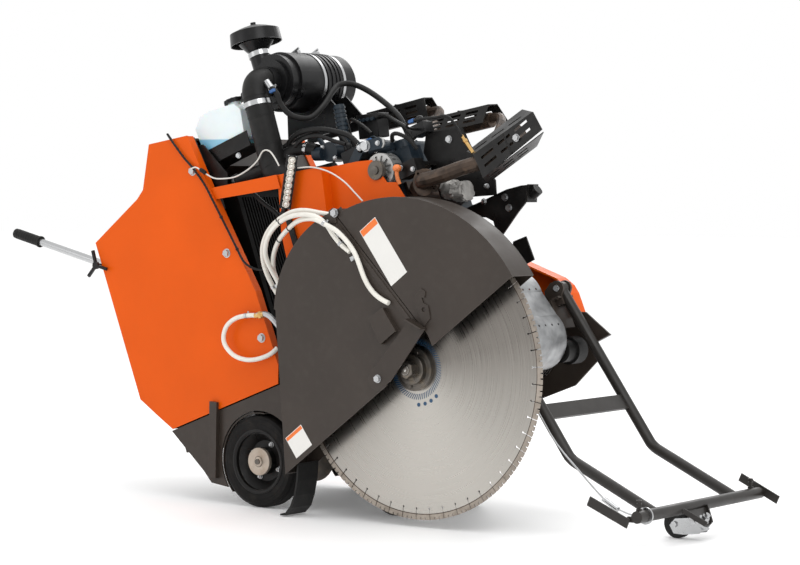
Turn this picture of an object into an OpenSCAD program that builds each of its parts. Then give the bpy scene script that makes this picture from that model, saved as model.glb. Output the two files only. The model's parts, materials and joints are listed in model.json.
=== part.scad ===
// Walk-behind concrete saw, nose raised on its front axle, blade on the right-hand side.
// Chassis parts are drawn in a level frame whose origin is the rear axle, then pitched nose-up.

/* [Blade] */
// Diameter over the diamond segments
blade_d = 914.4; // [860:0.4:930]
// Thickness of the steel core
core_t = 4; // [3:0.5:5]
// Number of diamond segments round the rim
segments = 54; // [40:1:60]
// Teeth on each segment
teeth = 3; // [2:1:4]

/* [Stance] */
// How far the nose is raised from level, in degrees
pitch = 20.7; // [20:0.1:21]
// Tilt of the blade guard against the chassis, in degrees
guard_tilt = 15.9; // [15:0.1:17]

/* [Chassis] */
// Rear wheel diameter
rear_wheel_d = 298; // [290:2:300]
// Rear wheel width
rear_wheel_w = 74; // [60:2:76]
// Front wheel diameter
front_wheel_d = 200; // [190:2:204]
// Overall width over the two side plates
frame_w = 596; // [590:2:600]
// Sheet thickness of the side plates and the deck
plate_t = 6; // [4:1:8]

/* [Guard] */
// Outer width of the blade guard
guard_w = 108; // [104:2:108]
// Sheet thickness of the guard
guard_t = 3; // [2:0.5:4]

/* [Handles] */
// Diameter of the telescopic handle tubes
handle_d = 25; // [22:1:26]
// Diameter of the rubber grips
grip_d = 34; // [32:1:38]

/* [Hidden] */
$fn = 48;

// Row frame: X forward, Y to the machine's left, Z up, floor at 0. The blade lies in y = 0
// and its centre at x = 0 before the whole machine is centred over the origin.
centre_x = 480;
centre_y = -304;
mid_y = 360;
axle_x = -680;
axle_z = rear_wheel_d / 2;

// Blade shaft and crankshaft in the chassis frame
shaft_x = 754;
shaft_z = 71;
crank_x = 640;
crank_z = 350;
shaft_r = 22;
fit = 0.05;

// Inner and outer faces of the frame
right_y = mid_y - frame_w / 2;
left_y = mid_y + frame_w / 2;
deck_z = 200;
deck_top = deck_z + plate_t;

// Colours
orange = "#f0763a";
dark_grey = "#6e6863";
black = "#26241f";
steel = "#b9b6b0";
zinc = "#d6d8da";
rubber = "#2a2a2a";
engine_blue = "#26343f";

// ---------------------------------------------------------------- helpers

module row() {
  translate([centre_x, centre_y, 0]) children();
}

module on_chassis() {
  row() translate([axle_x, 0, axle_z]) rotate([0, -pitch, 0]) children();
}

module on_guard() {
  on_chassis() translate([shaft_x, 0, shaft_z]) rotate([0, -guard_tilt, 0]) children();
}

// Sheet in the XZ plane, from y0 to y1
module sheet(y0, y1) {
  translate([0, y1, 0]) rotate([90, 0, 0]) linear_extrude(y1 - y0) children();
}

// Sheet in the YZ plane, from x0 to x1; the outline is drawn as (y, z)
module y_rod(r, y0, y1) {
  translate([0, y0, 0]) rotate([-90, 0, 0]) cylinder(r = r, h = y1 - y0);
}

module y_tube(r, bore, y0, y1) {
  difference() {
    y_rod(r, y0, y1);
    y_rod(bore, y0 - 1, y1 + 1);
  }
}

module at_xz(x, z) {
  translate([x, 0, z]) children();
}

module box(lo, hi) {
  translate(lo) cube(hi - lo);
}

// Block with its long edges rounded along Y
module round_box(lo, hi, r) {
  sheet(lo[1], hi[1]) rounded([lo[0], lo[2]], [hi[0], hi[2]], r);
}

// Rectangle with round corners made of true arcs
module rounded(lo, hi, r) {
  translate([lo[0] + r, lo[1]]) square([hi[0] - lo[0] - 2 * r, hi[1] - lo[1]]);
  translate([lo[0], lo[1] + r]) square([hi[0] - lo[0], hi[1] - lo[1] - 2 * r]);
  for (x = [lo[0] + r, hi[0] - r], z = [lo[1] + r, hi[1] - r]) translate([x, z]) circle(r);
}

// Hexagon bolt head with a washer, standing out towards -Y from y = 0
module bolt_head(size) {
  rotate([90, 0, 0]) cylinder(d = size * 2.1, h = size * 0.18);
  rotate([90, 0, 0]) translate([0, 0, size * 0.18]) cylinder(d = size * 1.8, h = size * 0.6, $fn = 6);
}

// Straight bar of flat stock between two points of the XZ plane
module flat_bar(p, q, w, y0, y1) {
  d = q - p;
  translate([p[0], 0, p[1]]) rotate([0, -atan2(d[1], d[0]), 0])
    box([0, y0, -w / 2], [norm(d), y1, w / 2]);
}

// Points of a smooth curve through the route's own points
function spline_point(p, i, t) =
  let (a = p[max(i - 1, 0)], b = p[i], c = p[i + 1], d = p[min(i + 2, len(p) - 1)])
  0.5 * ((2 * b) + (c - a) * t + (2 * a - 5 * b + 4 * c - d) * t * t
    + (3 * b - a - 3 * c + d) * t * t * t);
function spline(p, n) = concat(
  [for (i = [0 : len(p) - 2], k = [0 : n - 1]) spline_point(p, i, k / n)], [p[len(p) - 1]]);
function unit(v) = v / norm(v);
function tangent(p, i) = unit(p[min(i + 1, len(p) - 1)] - p[max(i - 1, 0)]);
// Each ring's side vector is the one before it, turned as little as possible
function sides_of(p, i, s) =
  i == len(p) ? [] : let (t = tangent(p, i), u = unit(s - (s * t) * t)) concat([u], sides_of(p, i + 1, u));
function first_side(p) =
  let (t = tangent(p, 0)) abs(t[1]) < 0.8 ? cross(t, [0, 1, 0]) : cross(t, [0, 0, 1]);

// Places children with their +Z along d and their origin at p
module along(p, d) {
  z = unit(d);
  x = unit(abs(z[1]) < 0.9 ? cross([0, 1, 0], z) : cross([1, 0, 0], z));
  y = cross(z, x);
  multmatrix([[x[0], y[0], z[0], p[0]], [x[1], y[1], z[1], p[1]], [x[2], y[2], z[2], p[2]], [0, 0, 0, 1]])
    children();
}

// Round tube swept along a route of points: one closed polyhedron
module hose(route, r, steps = 4, n = 10) {
  p = steps > 1 ? spline(route, steps) : route;
  s = sides_of(p, 0, unit(first_side(p)));
  m = len(p);
  rings = [for (i = [0 : m - 1], k = [0 : n - 1])
    let (t = tangent(p, i), b = cross(t, s[i]), a = 360 * k / n) p[i] + r * (cos(a) * s[i] + sin(a) * b)];
  walls = [for (i = [0 : m - 2], k = [0 : n - 1])
    [i * n + k, (i + 1) * n + k, (i + 1) * n + (k + 1) % n, i * n + (k + 1) % n]];
  first = [for (k = [0 : n - 1]) k];
  last = [for (k = [n - 1 : -1 : 0]) (m - 1) * n + k];
  polyhedron(rings, concat(walls, [first, last]), convexity = 6);
}

// ---------------------------------------------------------------- frame

side_outline = [
  [-332, 206], [-242, 40], [-224, -5], [-120, -60], [860, -60], [965, -14], [985, 20], [985, 206]
];
rib_outline = [[-122, 244], [-94, 231], [-187, 0], [-215, 15]];
bearing_hole_r = 40;
arch_r = rear_wheel_d / 2 + 15;
pivot_front = [640, -30];
pointer_pivot = [977, 234];

module side_plate(y0) {
  sheet(y0, y0 + plate_t) difference() {
    polygon(side_outline);
    circle(arch_r);
    translate([-400, -300]) square([400 + 120, 240]);
    translate([shaft_x, shaft_z]) circle(bearing_hole_r);
  }
}

// Upright ear that carries the pointer frame's pivot bolt
module pointer_ear(y0) {
  sheet(y0, y0 + 8) difference() {
    union() {
      polygon([[920, 206], [985, 206], [1000, 225], [1000, 245], [960, 258], [930, 240]]);
      translate(pointer_pivot) circle(24);
    }
    translate(pointer_pivot) circle(6.5);
  }
}

module main_frame() {
  color(dark_grey) on_chassis() {
    difference() {
      union() {
        side_plate(right_y);
        side_plate(left_y - plate_t);
        // Deck between the side plates
        box([-325, right_y + plate_t, deck_z], [985, left_y - plate_t, deck_top]);
      }
      // Openings in the deck for the drive belts and for the front guard band
      box([560, 572, deck_z - 5], [860, 646, deck_top + 5]);
      box([740, 325, deck_z - 5], [990, 515, deck_top + 5]);
      // Notches for the pointer frame's arms, and the room that the belt cover takes
      for (y = arm_y) box([948, y - 18, deck_z - 5], [990, y + 18, deck_top + 5]);
      sheet(601, 660) polygon([[600, 210], [640, 205.8], [971, 139.4], [990, 139.4], [990, 210]]);
    }
    // Front crossbar and rear cross plate
    box([952, right_y + 1, 108], [958, 330, deck_z + 1]);
    box([952, 510, 108], [958, 601, deck_z + 1]);
    box([-300, right_y + plate_t, 120], [-294, left_y - plate_t, deck_z]);
    // Cross tube that carries the front axle's pivot
    difference() {
      box([615, right_y + plate_t, -55], [665, left_y - plate_t, -5]);
      box([600, 180, -80], [680, 540, 10]);
      at_xz(pivot_front[0], pivot_front[1]) y_rod(12 + fit, 150, 570);
    }
    for (y = [170, 540]) sheet(y, y + 10) difference() {
      polygon([[605, -5], [675, -5], [675, -50], [655, -62], [625, -62], [605, -50]]);
      translate(pivot_front) circle(12 + fit);
    }
    for (y = [170, 540]) box([605, y, -5], [675, y + 10, deck_z]);
    // Bearing blocks of the rear axle
    for (y = [150, 2 * mid_y - 182]) difference() {
      box([-42, y, -34], [42, y + 32, deck_z]);
      y_rod(19 + fit, y - 1, y + 33);
    }
    // Axle of the front roller, between a hanger and the left side plate
    at_xz(935, 39) y_rod(10 - fit, 502, left_y - plate_t + 1);
    box([917, 502, 27], [953, 508.5, deck_z + 1]);
    // Outrigger behind each rear wheel
    for (y = [44, 2 * mid_y - 54.9]) sheet(y, y + 10.9) polygon(rib_outline);
    for (y = [54.9, left_y]) sheet(y, y + 7.1)
      polygon([[-137, 206], [-104, 206], [-187, 0], [-215, 15]]);
    // Ears for the pointer frame
    for (y = [74, 118, 535, 579]) {
      pointer_ear(y);
      box([930, y, 180], [985, y + 8, 206]);
    }
    // Skid at the front left corner, with its lower edge folded
    sheet(592, 598) polygon([[985, 150], [1018, 138], [1081, 40], [1019, 34], [985, 60]]);
    flat_bar([1019, 36], [1081, 42], 5, 582, 593);
    // Brackets that hold the guard off the side plate
    box([430, 40, 60], [500, right_y, 120]);
    box([560, 40, 150], [640, right_y, 195]);
  }
}

// ---------------------------------------------------------------- console

panel_outline = [
  [-85, 1128], [84, 1093], [115, 890], [182, 520], [188, 265], [166, 210], [-321, 210],
  [-362, 262], [-426, 347], [-434, 907], [-200, 977], [-164, 997]
];
panel_t = 3;
panel_y = 58;
console_in = panel_y + panel_t;

module console_panel() {
  sheet(panel_y, panel_y + panel_t) polygon(panel_outline);
  // Return flange along the front edge, facing the engine
  sheet(panel_y + 1, panel_y + 30) polygon([
    [84, 1093], [115, 890], [182, 520], [188, 265], [184, 265], [178, 520], [111, 890], [80, 1092]
  ]);
}

module console_panels() {
  color(orange) on_chassis() {
    console_panel();
    translate([0, 2 * mid_y, 0]) mirror([0, 1, 0]) console_panel();
  }
}

console_y1 = 2 * mid_y - console_in;

module console_body() {
  color(dark_grey) on_chassis() difference() {
    sheet(console_in, console_y1) difference() {
      polygon([
        [-85, 1126], [80, 1091], [96, 985], [-60, 940], [-60, 890], [-400, 890], [-400, 360],
        [-345, 270], [-310, 215], [-321, 210], [-362, 262], [-426, 347], [-434, 907],
        [-200, 977], [-164, 997]
      ]);
      polygon([
        [-80, 1117], [70, 1085], [80, 995], [-70, 948], [-70, 896], [-428, 896],
        [-426, 903], [-194, 971], [-156, 994]
      ]);
    }
    // Slot of the speed lever with its lugs, and the recess in which the coolant bottle sits
    translate([face_p[0], 0, face_p[1]]) rotate([0, -face_angle, 0]) {
      box([86, 464, -60], [194, 476, 5]);
      box([130, 454, -60], [150, 486, 5]);
      // Room for the stop button's stem
      translate([44, 200, -14]) cylinder(r = 13, h = 20);
    }
    box([62, 98, 960], [112, 216, 1110]);
    // Entries for the telescopic handles
    for (y = [handle_y, 2 * mid_y - handle_y]) handle_axis(y) {
      translate([0, 0, -400]) cylinder(r = handle_d / 2 + 1.5, h = 800);
    }
  }
}

// The sloping operator's face, at the rear top of the console
face_p = [-434, 907];
face_q = [-200, 977];
face_angle = atan2(face_q[1] - face_p[1], face_q[0] - face_p[0]);

pod_h = 42;

module on_face() {
  on_chassis() translate([face_p[0], 0, face_p[1]]) rotate([0, -face_angle, 0]) children();
}

module control_face() {
  color(black) on_face() {
    difference() {
      union() {
        box([20, 90, 0], [225, 630, 8]);
        // Raised instrument pod
        sheet(250, 600) polygon([[70, 8], [84, pod_h - 8], [196, pod_h + 6], [214, pod_h - 6], [220, 8]]);
      }
      translate([44, 200, -1]) cylinder(r = 11, h = 10);
      box([90, 466, -1], [190, 474, pod_h + 20]);
    }
    // Lugs and pin of the speed lever, under the face
    for (y = [456, 473.3]) box([134, y, -24], [146, y + 10.7, 1]);
    translate([140, 0, -14]) y_rod(3, 456, 484);
    // One large dial, three small ones and a row of rocker switches
    translate([140, 300, pod_h - 8]) cylinder(r = 42, h = 16);
    for (i = [0 : 2]) translate([110, 370 + 30 * i, pod_h - 8]) cylinder(r = 10, h = 12);
    for (i = [0 : 3]) box([30, 380 + 24 * i, 8], [52, 396 + 24 * i, 16]);
    translate([140, 560, pod_h - 8]) cylinder(r = 16, h = 16);
  }
}

module estop_button() {
  color("#c22a1e") on_face() {
    translate([44, 200, 16.3]) cylinder(r = 19, h = 12);
    translate([44, 200, 1]) cylinder(r = 11 - fit, h = 15.5);
  }
}

module speed_lever() {
  color(black) on_face() translate([140, 467, -14]) {
    difference() {
      union() {
        y_rod(9, 0, 6);
        box([-3, 0, 0], [3, 6, 118]);
      }
      y_rod(3 + fit, -1, 7);
    }
    translate([0, 3, 128]) sphere(r = 15);
  }
}

// ---------------------------------------------------------------- handles

handle_y = 95;
handle_rise = 34;
// Where the handle's axis meets the rear of the console
handle_at = [-434, 822];

// Frame with +Z along a handle tube, towards the operator
module handle_axis(y) {
  translate([handle_at[0], y, handle_at[1]]) rotate([0, -90 + handle_rise, 0]) children();
}

module handle_tube(y) {
  color(zinc) on_chassis() handle_axis(y) translate([0, 0, -230]) difference() {
    cylinder(d = handle_d, h = 690);
    translate([0, 0, -1]) cylinder(d = handle_d - 5, h = 692);
  }
}

module grip(y) {
  color(rubber) on_chassis() handle_axis(y) difference() {
    union() {
      translate([0, 0, 345]) cylinder(d = grip_d, h = 122);
      translate([0, 0, 341]) cylinder(d = grip_d + 6, h = 6);
      for (i = [0 : 8]) translate([0, 0, 354 + 12 * i]) cylinder(d = grip_d + 1.6, h = 6);
    }
    translate([0, 0, 300]) cylinder(d = handle_d, h = 160.2);
  }
}

// Guide block with its clamp knob, on the rear of the console
module knob(y) {
  color(black) on_chassis() handle_axis(y) translate([0, -44, 18]) {
    rotate([-90, 0, 0]) cylinder(r = 6, h = 26);
    rotate([90, 0, 0]) cylinder(r = 13, h = 10);
    for (a = [90, 210, 330]) rotate([0, a, 0]) translate([0, -9, -5]) cube([52, 8, 10]);
  }
}

module handle_right() { handle_tube(handle_y); }
module handle_left() { handle_tube(2 * mid_y - handle_y); }
module grip_right() { grip(handle_y); }
module grip_left() { grip(2 * mid_y - handle_y); }
module knob_right() { knob(handle_y); }
module knob_left() {
  row() translate([0, 2 * mid_y, 0]) mirror([0, 1, 0]) translate([-centre_x, -centre_y, 0]) knob(handle_y);
}

// ---------------------------------------------------------------- engine

cover_y = 72;

module engine_side_cover() {
  color(orange) on_chassis() {
    // Rear part, nearest the operator
    sheet(cover_y, cover_y + panel_t) polygon([
      [391, 839], [480, 819], [566, 799], [505, 500], [505, 420], [430, 420], [330, 560], [338, 654]
    ]);
    // Recessed front part
    sheet(cover_y + 38, cover_y + 38 + panel_t) polygon([
      [563, 799], [678, 774], [733, 758], [764, 672], [800, 659], [830, 560], [830, 420], [502, 420], [502, 500]
    ]);
    // Wall of the recess and the flanges along the top
    sheet(cover_y, cover_y + 38 + panel_t)
      polygon([[566, 799], [505, 500], [505, 420], [502, 420], [502, 500], [563, 799]]);
    sheet(cover_y, cover_y + 18)
      polygon([[391, 839], [480, 819], [566, 799], [566, 796], [480, 816], [391, 836]]);
    sheet(cover_y + 38, cover_y + 45) polygon([
      [563, 799], [678, 774], [733, 758], [764, 672], [760, 672], [730, 755], [677, 771], [563, 796]
    ]);
    // Brace from the console to the cover on each side
    sheet(64, 68) polygon([[115.4, 898], [392, 839], [392, 793], [121.4, 857]]);
    sheet(64, 74) polygon([[115.4, 898], [392, 839], [392, 835], [116, 894]]);
    sheet(652, 656) polygon([[115.4, 898], [560, 803], [560, 757], [121.4, 857]]);
    // Brackets that stand the cover on the deck
    box([440, cover_y + 1, deck_top], [490, cover_y + panel_t + 4, 480]);
    box([740, cover_y + 39, deck_top], [800, cover_y + 45, 480]);
    box([540, 650, deck_top], [560, 656, 790]);
  }
}

block_lo = [530, 185, 236];
block_hi = [780, 545, 590];

module engine_block() {
  color(engine_blue) on_chassis() {
    difference() {
      union() {
        box(block_lo, block_hi);
        // Sump
        box([570, 205, 212], [740, 525, 236]);
        // Bell housing at the left and timing cover at the right
        at_xz(crank_x, crank_z + 40) y_rod(140, 545, 562);
        sheet(165, 185) rounded([545, 240], [765, 600], 40);
        // Mounting feet on the deck
        for (x = [505, 780], y = [230, 450]) box([x, y, deck_top], [x + 40, y + 60, 260]);
      }
      at_xz(crank_x, crank_z) y_rod(25 + fit, 100, 600);
    }
    // Stiffening ribs on the front of the block
    for (i = [0 : 4]) box([780, 210 + 70 * i, 290], [788, 218 + 70 * i, 560]);
    // Oil filter, standing out of the front
    translate([780, 286, 330]) rotate([0, 90, 0]) cylinder(r = 38, h = 80);
  }
}

module cylinder_head() {
  color(engine_blue) on_chassis() {
    box([560, 190, 590], [760, 540, 690]);
    // Valve cover, with its ribs
    round_box([570, 215, 690], [725, 530, 836], 18);
    for (i = [0 : 4]) box([590, 240 + 60 * i, 836], [705, 246 + 60 * i, 842]);
    // Coil box with its connectors, on a post
    translate([612, 344, 925]) rotate([0, 14, 0]) {
      box([-40, -28, -38], [40, 28, 38]);
      for (i = [0 : 3]) translate([-28 + 18 * i, -28, 20]) rotate([90, 0, 0]) cylinder(r = 6, h = 12);
      box([-20, -10, -92], [-6, 10, -38]);
    }
    // Oil filler tube
    along([545, 250, 834], [6, 0, 40]) {
      cylinder(r = 17, h = 180);
      for (i = [0 : 5]) translate([0, 0, 96 + 14 * i]) cylinder(r = 20, h = 7);
    }
    // Dipstick tube and ring
    along([705, 206, 700], [-6, 0, 60]) cylinder(r = 4, h = 118);
    translate([692, 206, 836]) rotate([90, 0, 0]) rotate_extrude() translate([17, 0]) circle(3);
    // Water pump casting at the right-hand end
    box([748, 186, 690], [832, 250, 772]);
    translate([790, 218, 770]) cylinder(r = 30, h = 30);
    translate([778, 180, 788]) rotate([0, -80, 0]) cylinder(r = 13, h = 88);
    translate([760, 200, 712]) rotate([-90, 0, 0]) cylinder(r = 14, h = 330);
    // Thermostat housing with its sensor
    translate([548, 160, 858]) rotate([-90, 0, 0]) cylinder(r = 32, h = 56);
    translate([520, 160, 862]) rotate([0, -70, 0]) translate([0, 0, -6]) cylinder(r = 22, h = 34);
    translate([530, 170, 880]) rotate([0, -20, 0]) cylinder(r = 8, h = 36);
    // Lifting eye on the head
    translate([640, 540, 745]) sheet(0, 8) difference() {
      union() {
        circle(20);
        translate([-20, -95]) square([40, 95]);
      }
      circle(10);
    }
  }
}

module alternator() {
  color(steel) on_chassis() {
    at_xz(742, 720) difference() {
      union() {
        y_rod(54, 128, 176);
        y_rod(46, 176, 185);
      }
      for (i = [0 : 11]) rotate([0, 30 * i, 0]) box([24, 126, -4], [46, 134, 4]);
      for (i = [0 : 17]) rotate([0, 20 * i, 0]) box([49, 138, -3], [60, 168, 3]);
    }
    at_xz(742, 720) y_rod(17, 118, 128);
    // Slotted adjusting arm
    sheet(119, 125) difference() {
      union() {
        polygon([[606, 756], [628, 730], [716, 806], [694, 826]]);
        flat_2d([700, 812], [780, 798], 34);
      }
      flat_2d([705, 811], [765, 801], 11);
    }
  }
}

// Bar with round ends between two points of the plane
module flat_2d(p, q, w) {
  d = q - p;
  translate(p) rotate(atan2(d[1], d[0])) {
    translate([0, -w / 2]) square([norm(d), w]);
    circle(w / 2);
    translate([norm(d), 0]) circle(w / 2);
  }
}

module crankshaft() {
  color(steel) on_chassis() at_xz(crank_x, crank_z) {
    y_rod(25, 130, 640);
    // Accessory pulley at the right
    difference() {
      y_rod(75, 132, 160);
      y_tube(80, 66, 140, 152);
    }
    // Four-groove drive pulley at the left
    difference() {
      y_rod(78, 576, 642);
      for (i = [0 : 3]) y_tube(82, 68, 582 + 15 * i, 590 + 15 * i);
    }
  }
}

module loop_2d(p, q, r, s) {
  // Outer outline of a belt round two pulleys of radii r and s
  d = norm(q - p);
  a = atan2(q[1] - p[1], q[0] - p[0]);
  b = acos((r - s) / d);
  pt = function(c, rad, t) c + rad * [cos(t), sin(t)];
  polygon([pt(p, r, a + b), pt(q, s, a + b), pt(q, s, a - b), pt(p, r, a - b)]);
  translate(p) circle(r);
  translate(q) circle(s);
}

module belt(p, q, r, s, y, w, t) {
  sheet(y, y + w) difference() {
    loop_2d(p, q, r + t, s + t);
    loop_2d(p, q, r, s);
  }
}

module belts() {
  color(rubber) on_chassis() {
    for (i = [0 : 3])
      belt([crank_x, crank_z], [shaft_x, shaft_z], 68.3, 62.3, 582.5 + 15 * i, 7, 9);
    belt([crank_x, crank_z], [742, 720], 66.3, 17.3, 118.5, 8.5, 4);
  }
}

module radiator() {
  color(black) on_chassis() {
    difference() {
      box([98, 130, 300], [160, 590, 880]);
      for (i = [0 : 30]) box([150, 150 + 13.6 * i, 330], [161, 157 + 13.6 * i, 850]);
    }
    box([90, 120, 880], [166, 600, 925]);
    box([90, 120, 255], [166, 600, 300]);
    // Feet on the deck, filler neck, and stays to the console
    for (y = [140, 540]) box([100, y, deck_top], [150, y + 40, 255]);
    translate([128, 500, 925]) cylinder(r = 22, h = 26);
  }
}

module cooling_fan() {
  color(black) on_chassis() translate([60, mid_y, 590]) rotate([0, 90, 0]) {
    cylinder(r = 50, h = 26);
    for (i = [0 : 6]) rotate([0, 0, 360 / 7 * i]) translate([45, 0, 13]) rotate([28, 0, 0])
      translate([0, -26, -2]) cube([125, 52, 4]);
    translate([0, 0, -30]) cylinder(r = 8, h = 31);
  }
}

module battery() {
  color(black) on_chassis() {
    box([-290, 400, deck_top], [-110, 620, 380]);
    for (y = [430, 590]) translate([-135, y, 380]) cylinder(r = 9, h = 18);
    // Electric fan motor on its stay
    translate([-30, mid_y, 590]) rotate([0, 90, 0]) difference() {
      cylinder(r = 45, h = 58);
      translate([0, 0, 20]) cylinder(r = 8 + fit, h = 50);
    }
  }
}

module fuel_tank() {
  color(black) on_chassis() {
    difference() {
      round_box([-395, 125, 560], [-70, 595, 790], 30);
      translate([-150, 200, 782]) cylinder(r = 30 + fit, h = 20);
    }
    box([-390, 130, 430], [-360, 590, 560]);
    box([-110, 130, 430], [-80, 300, 560]);
  }
}

module fuel_cap() {
  color(black) on_chassis() translate([-150, 200, 790]) {
    translate([0, 0, 0.3]) cylinder(r = 38, h = 26);
    translate([0, 0, -7.5]) cylinder(r = 30, h = 8);
    for (i = [0 : 9]) rotate([0, 0, 36 * i]) box([36, -4, 0.3], [41, 4, 26]);
  }
}

// ---------------------------------------------------------------- air cleaner

can_x = 381;
can_z = 1169;
can_r = 98;
cap_x = 340;
cap_y = 222;
// The pre-cleaner and the shields sit this much less nose-up than the chassis
engine_tilt = 8.2;

module air_cleaner() {
  color(black) on_chassis() {
    at_xz(can_x, can_z) {
      y_rod(can_r, 232, 510);
      y_rod(can_r - 8, 196, 232);
      y_rod(can_r - 26, 182, 196);
      y_rod(48, 150, 182);
      for (y = [366, 388, 410, 428]) y_tube(can_r + 3, can_r - 1, y, y + 9);
      // Stepped far end
      y_rod(can_r - 9, 510, 524);
      y_rod(can_r - 26, 524, 535);
    }
    // Inlet neck below the pre-cleaner
    translate([cap_x, cap_y, 1230]) cylinder(r = 33, h = 72);
    // Mushroom pre-cleaner, level with the engine rather than with the chassis
    translate([cap_x, cap_y, 1310]) rotate([0, engine_tilt, 0]) {
      translate([0, 0, -14]) cylinder(r1 = 36, r2 = 58, h = 27);
      difference() {
        union() {
          translate([0, 0, 11]) cylinder(r1 = 86, r2 = 82, h = 40);
          translate([0, 0, 51]) cylinder(r1 = 82, r2 = 50, h = 12);
          translate([0, 0, 63]) cylinder(r1 = 50, r2 = 15, h = 10);
        }
        translate([0, 0, 10]) cylinder(r1 = 83, r2 = 78, h = 37);
      }
      translate([0, 0, 10]) cylinder(r = 44, h = 40);
      translate([0, 0, 72]) cylinder(r = 9, h = 10);
    }
    // Restriction gauge on the end cap
    translate([330, 178, 1172]) rotate([0, -100, 0]) cylinder(r = 11, h = 42);
    translate([300, 178, 1167]) rotate([0, -100, 0]) cylinder(r = 17, h = 34);
    // Saddle that carries the canister above the engine
    for (y = [340, 440]) sheet(y, y + 6) difference() {
      polygon([[290, 1090], [470, 1090], [520, 990], [520, 700], [500, 700], [500, 960], [260, 1000]]);
      translate([can_x, can_z]) circle(can_r);
    }
    box([500, 340, 700], [520, 446, 712]);
    box([500, 340, 690.2], [568, 446, 702]);
  }
}

// The guard's frame, for parts already drawn in the chassis frame
module on_guard_only() {
  translate([shaft_x, 0, shaft_z]) rotate([0, -guard_tilt, 0]) children();
}

module engine_hoses() {
  color(rubber) on_chassis() {
    // Elbow and intake hose from the canister down to the throttle body
    hose([[383, 150, 1169], [383, 129, 1165], [382, 110, 1153], [380, 98, 1134], [378, 94, 1113],
      [374, 97, 1050], [360, 110, 960], [350, 118, 890], [356, 124, 854], [384, 142, 822], [440, 176, 800],
      [520, 204, 790]], 43.5, 2, 16);
    // Upper radiator hose to the thermostat housing
    hose([[166, 140, 905], [230, 140, 900], [300, 140, 898], [365, 140, 900], [415, 148, 912],
      [470, 158, 900], [505, 160, 880]], 20, 2, 12);
    // Breather hose from the elbow under the canister to the front of the head
    hose([[440, 100, 1125], [456, 102, 1096], [452, 112, 1060], [460, 140, 1018], [490, 190, 998],
      [514, 250, 1034], [520, 310, 1082], [524, 352, 1106], [556, 376, 1096], [620, 360, 1046],
      [690, 334, 974], [744, 308, 906], [764, 300, 840], [768, 300, 790], [740, 300, 740]], 9.5, 2, 8);
    // Small hose from the radiator to the head
    hose([[350, 150, 930], [410, 184, 954], [475, 236, 962], [535, 240, 934], [572, 230, 880], [590, 232, 830]],
      8, 2, 8);
  }
}

module wiring() {
  color("#cfcac2") on_chassis() {
    // Lead from the console to the work light
    hose([[78, 40, 980], [96, 44, 978], [112, 50, 958], [140, 60, 925], [176, 62, 908], [230, 62, 894],
      [286, 62, 896], [334, 62, 908], [370, 60, 928], [398, 56, 918], [416, 50, 890], [426, 48, 856]], 2.5, 2, 8);
    // Plug halfway along it
    along([108, 46, 968], [14, 6, -20]) cylinder(r = 7, h = 26);
    // Harness behind the guard, down the front of the console
    hose([[20, 52, 1106], [12, 50, 1128], [22, 50, 1100], [52, 50, 1030], [76, 50, 985], [104, 50, 920],
      [122, 50, 850], [136, 50, 790], [150, 50, 730], [162, 52, 670], [176, 52, 620], [204, 62, 586],
      [250, 68, 566]], 4, 2, 8);
    // Lead from the light to the front of the engine cover
    hose([[486, 60, 826], [530, 66, 812], [570, 66, 790], [608, 66, 760], [644, 66, 718], [670, 64, 675],
      [694, 60, 636]], 2.5, 2, 8);
  }
}

// ---------------------------------------------------------------- coolant bottle

bottle_outline = [
  [84, 1040], [104, 1002], [236, 998], [268, 1022], [282, 1110], [262, 1137], [150, 1156], [108, 1152], [76, 1120]
];

module coolant_bottle() {
  color("#dfe6e8") on_chassis() {
    difference() {
      sheet(118, 205) polygon(bottle_outline);
      sheet(122, 201) offset(delta = -4) polygon(bottle_outline);
      translate([232, 160, 1110]) cylinder(r = 18, h = 60);
    }
    translate([232, 160, 1132]) difference() {
      cylinder(r = 22, h = 20);
      translate([0, 0, -5]) cylinder(r = 18, h = 40);
    }
  }
}

module coolant_cap() {
  color(black) on_chassis() translate([232, 160, 1152.3]) {
    cylinder(r = 31, h = 12);
    translate([0, 0, -8]) cylinder(r = 17.9, h = 8.5);
    for (i = [0 : 11]) rotate([0, 0, 30 * i]) box([29, -3, 0], [33, 3, 12]);
  }
}

// ---------------------------------------------------------------- exhaust

// Flat plate between four corners, with rows of slots along its first edge
module slotted_plate(a, b, c, d, rows, count) {
  u = unit(b - a);
  n = unit(cross(b - a, d - a));
  v = cross(n, u);
  run = norm(b - a);
  rise = (d - a) * v;
  multmatrix([[u[0], v[0], n[0], a[0]], [u[1], v[1], n[1], a[1]], [u[2], v[2], n[2], a[2]], [0, 0, 0, 1]])
    linear_extrude(3, center = true) difference() {
      polygon([[-1, -1], [run + 1, -1], [(c - a) * u + 1, (c - a) * v + 1], [(d - a) * u - 1, rise + 1]]);
      if (rows > 0) for (r = [1 : rows], i = [0 : count - 1]) {
        low = run * (0.08 + 0.86 * i / count) + (d - a) * u * r / (rows + 1);
        translate([low, rise * r / (rows + 1) - 4.5]) square([run * 0.62 / count, 9]);
      }
    }
}

// Tunnel of three plates; each fold is given by its two ends
module tunnel(folds, rows, count) {
  for (i = [0 : len(folds) - 2])
    slotted_plate(folds[i][0], folds[i][1], folds[i + 1][1], folds[i + 1][0], rows[i], count);
}

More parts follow.
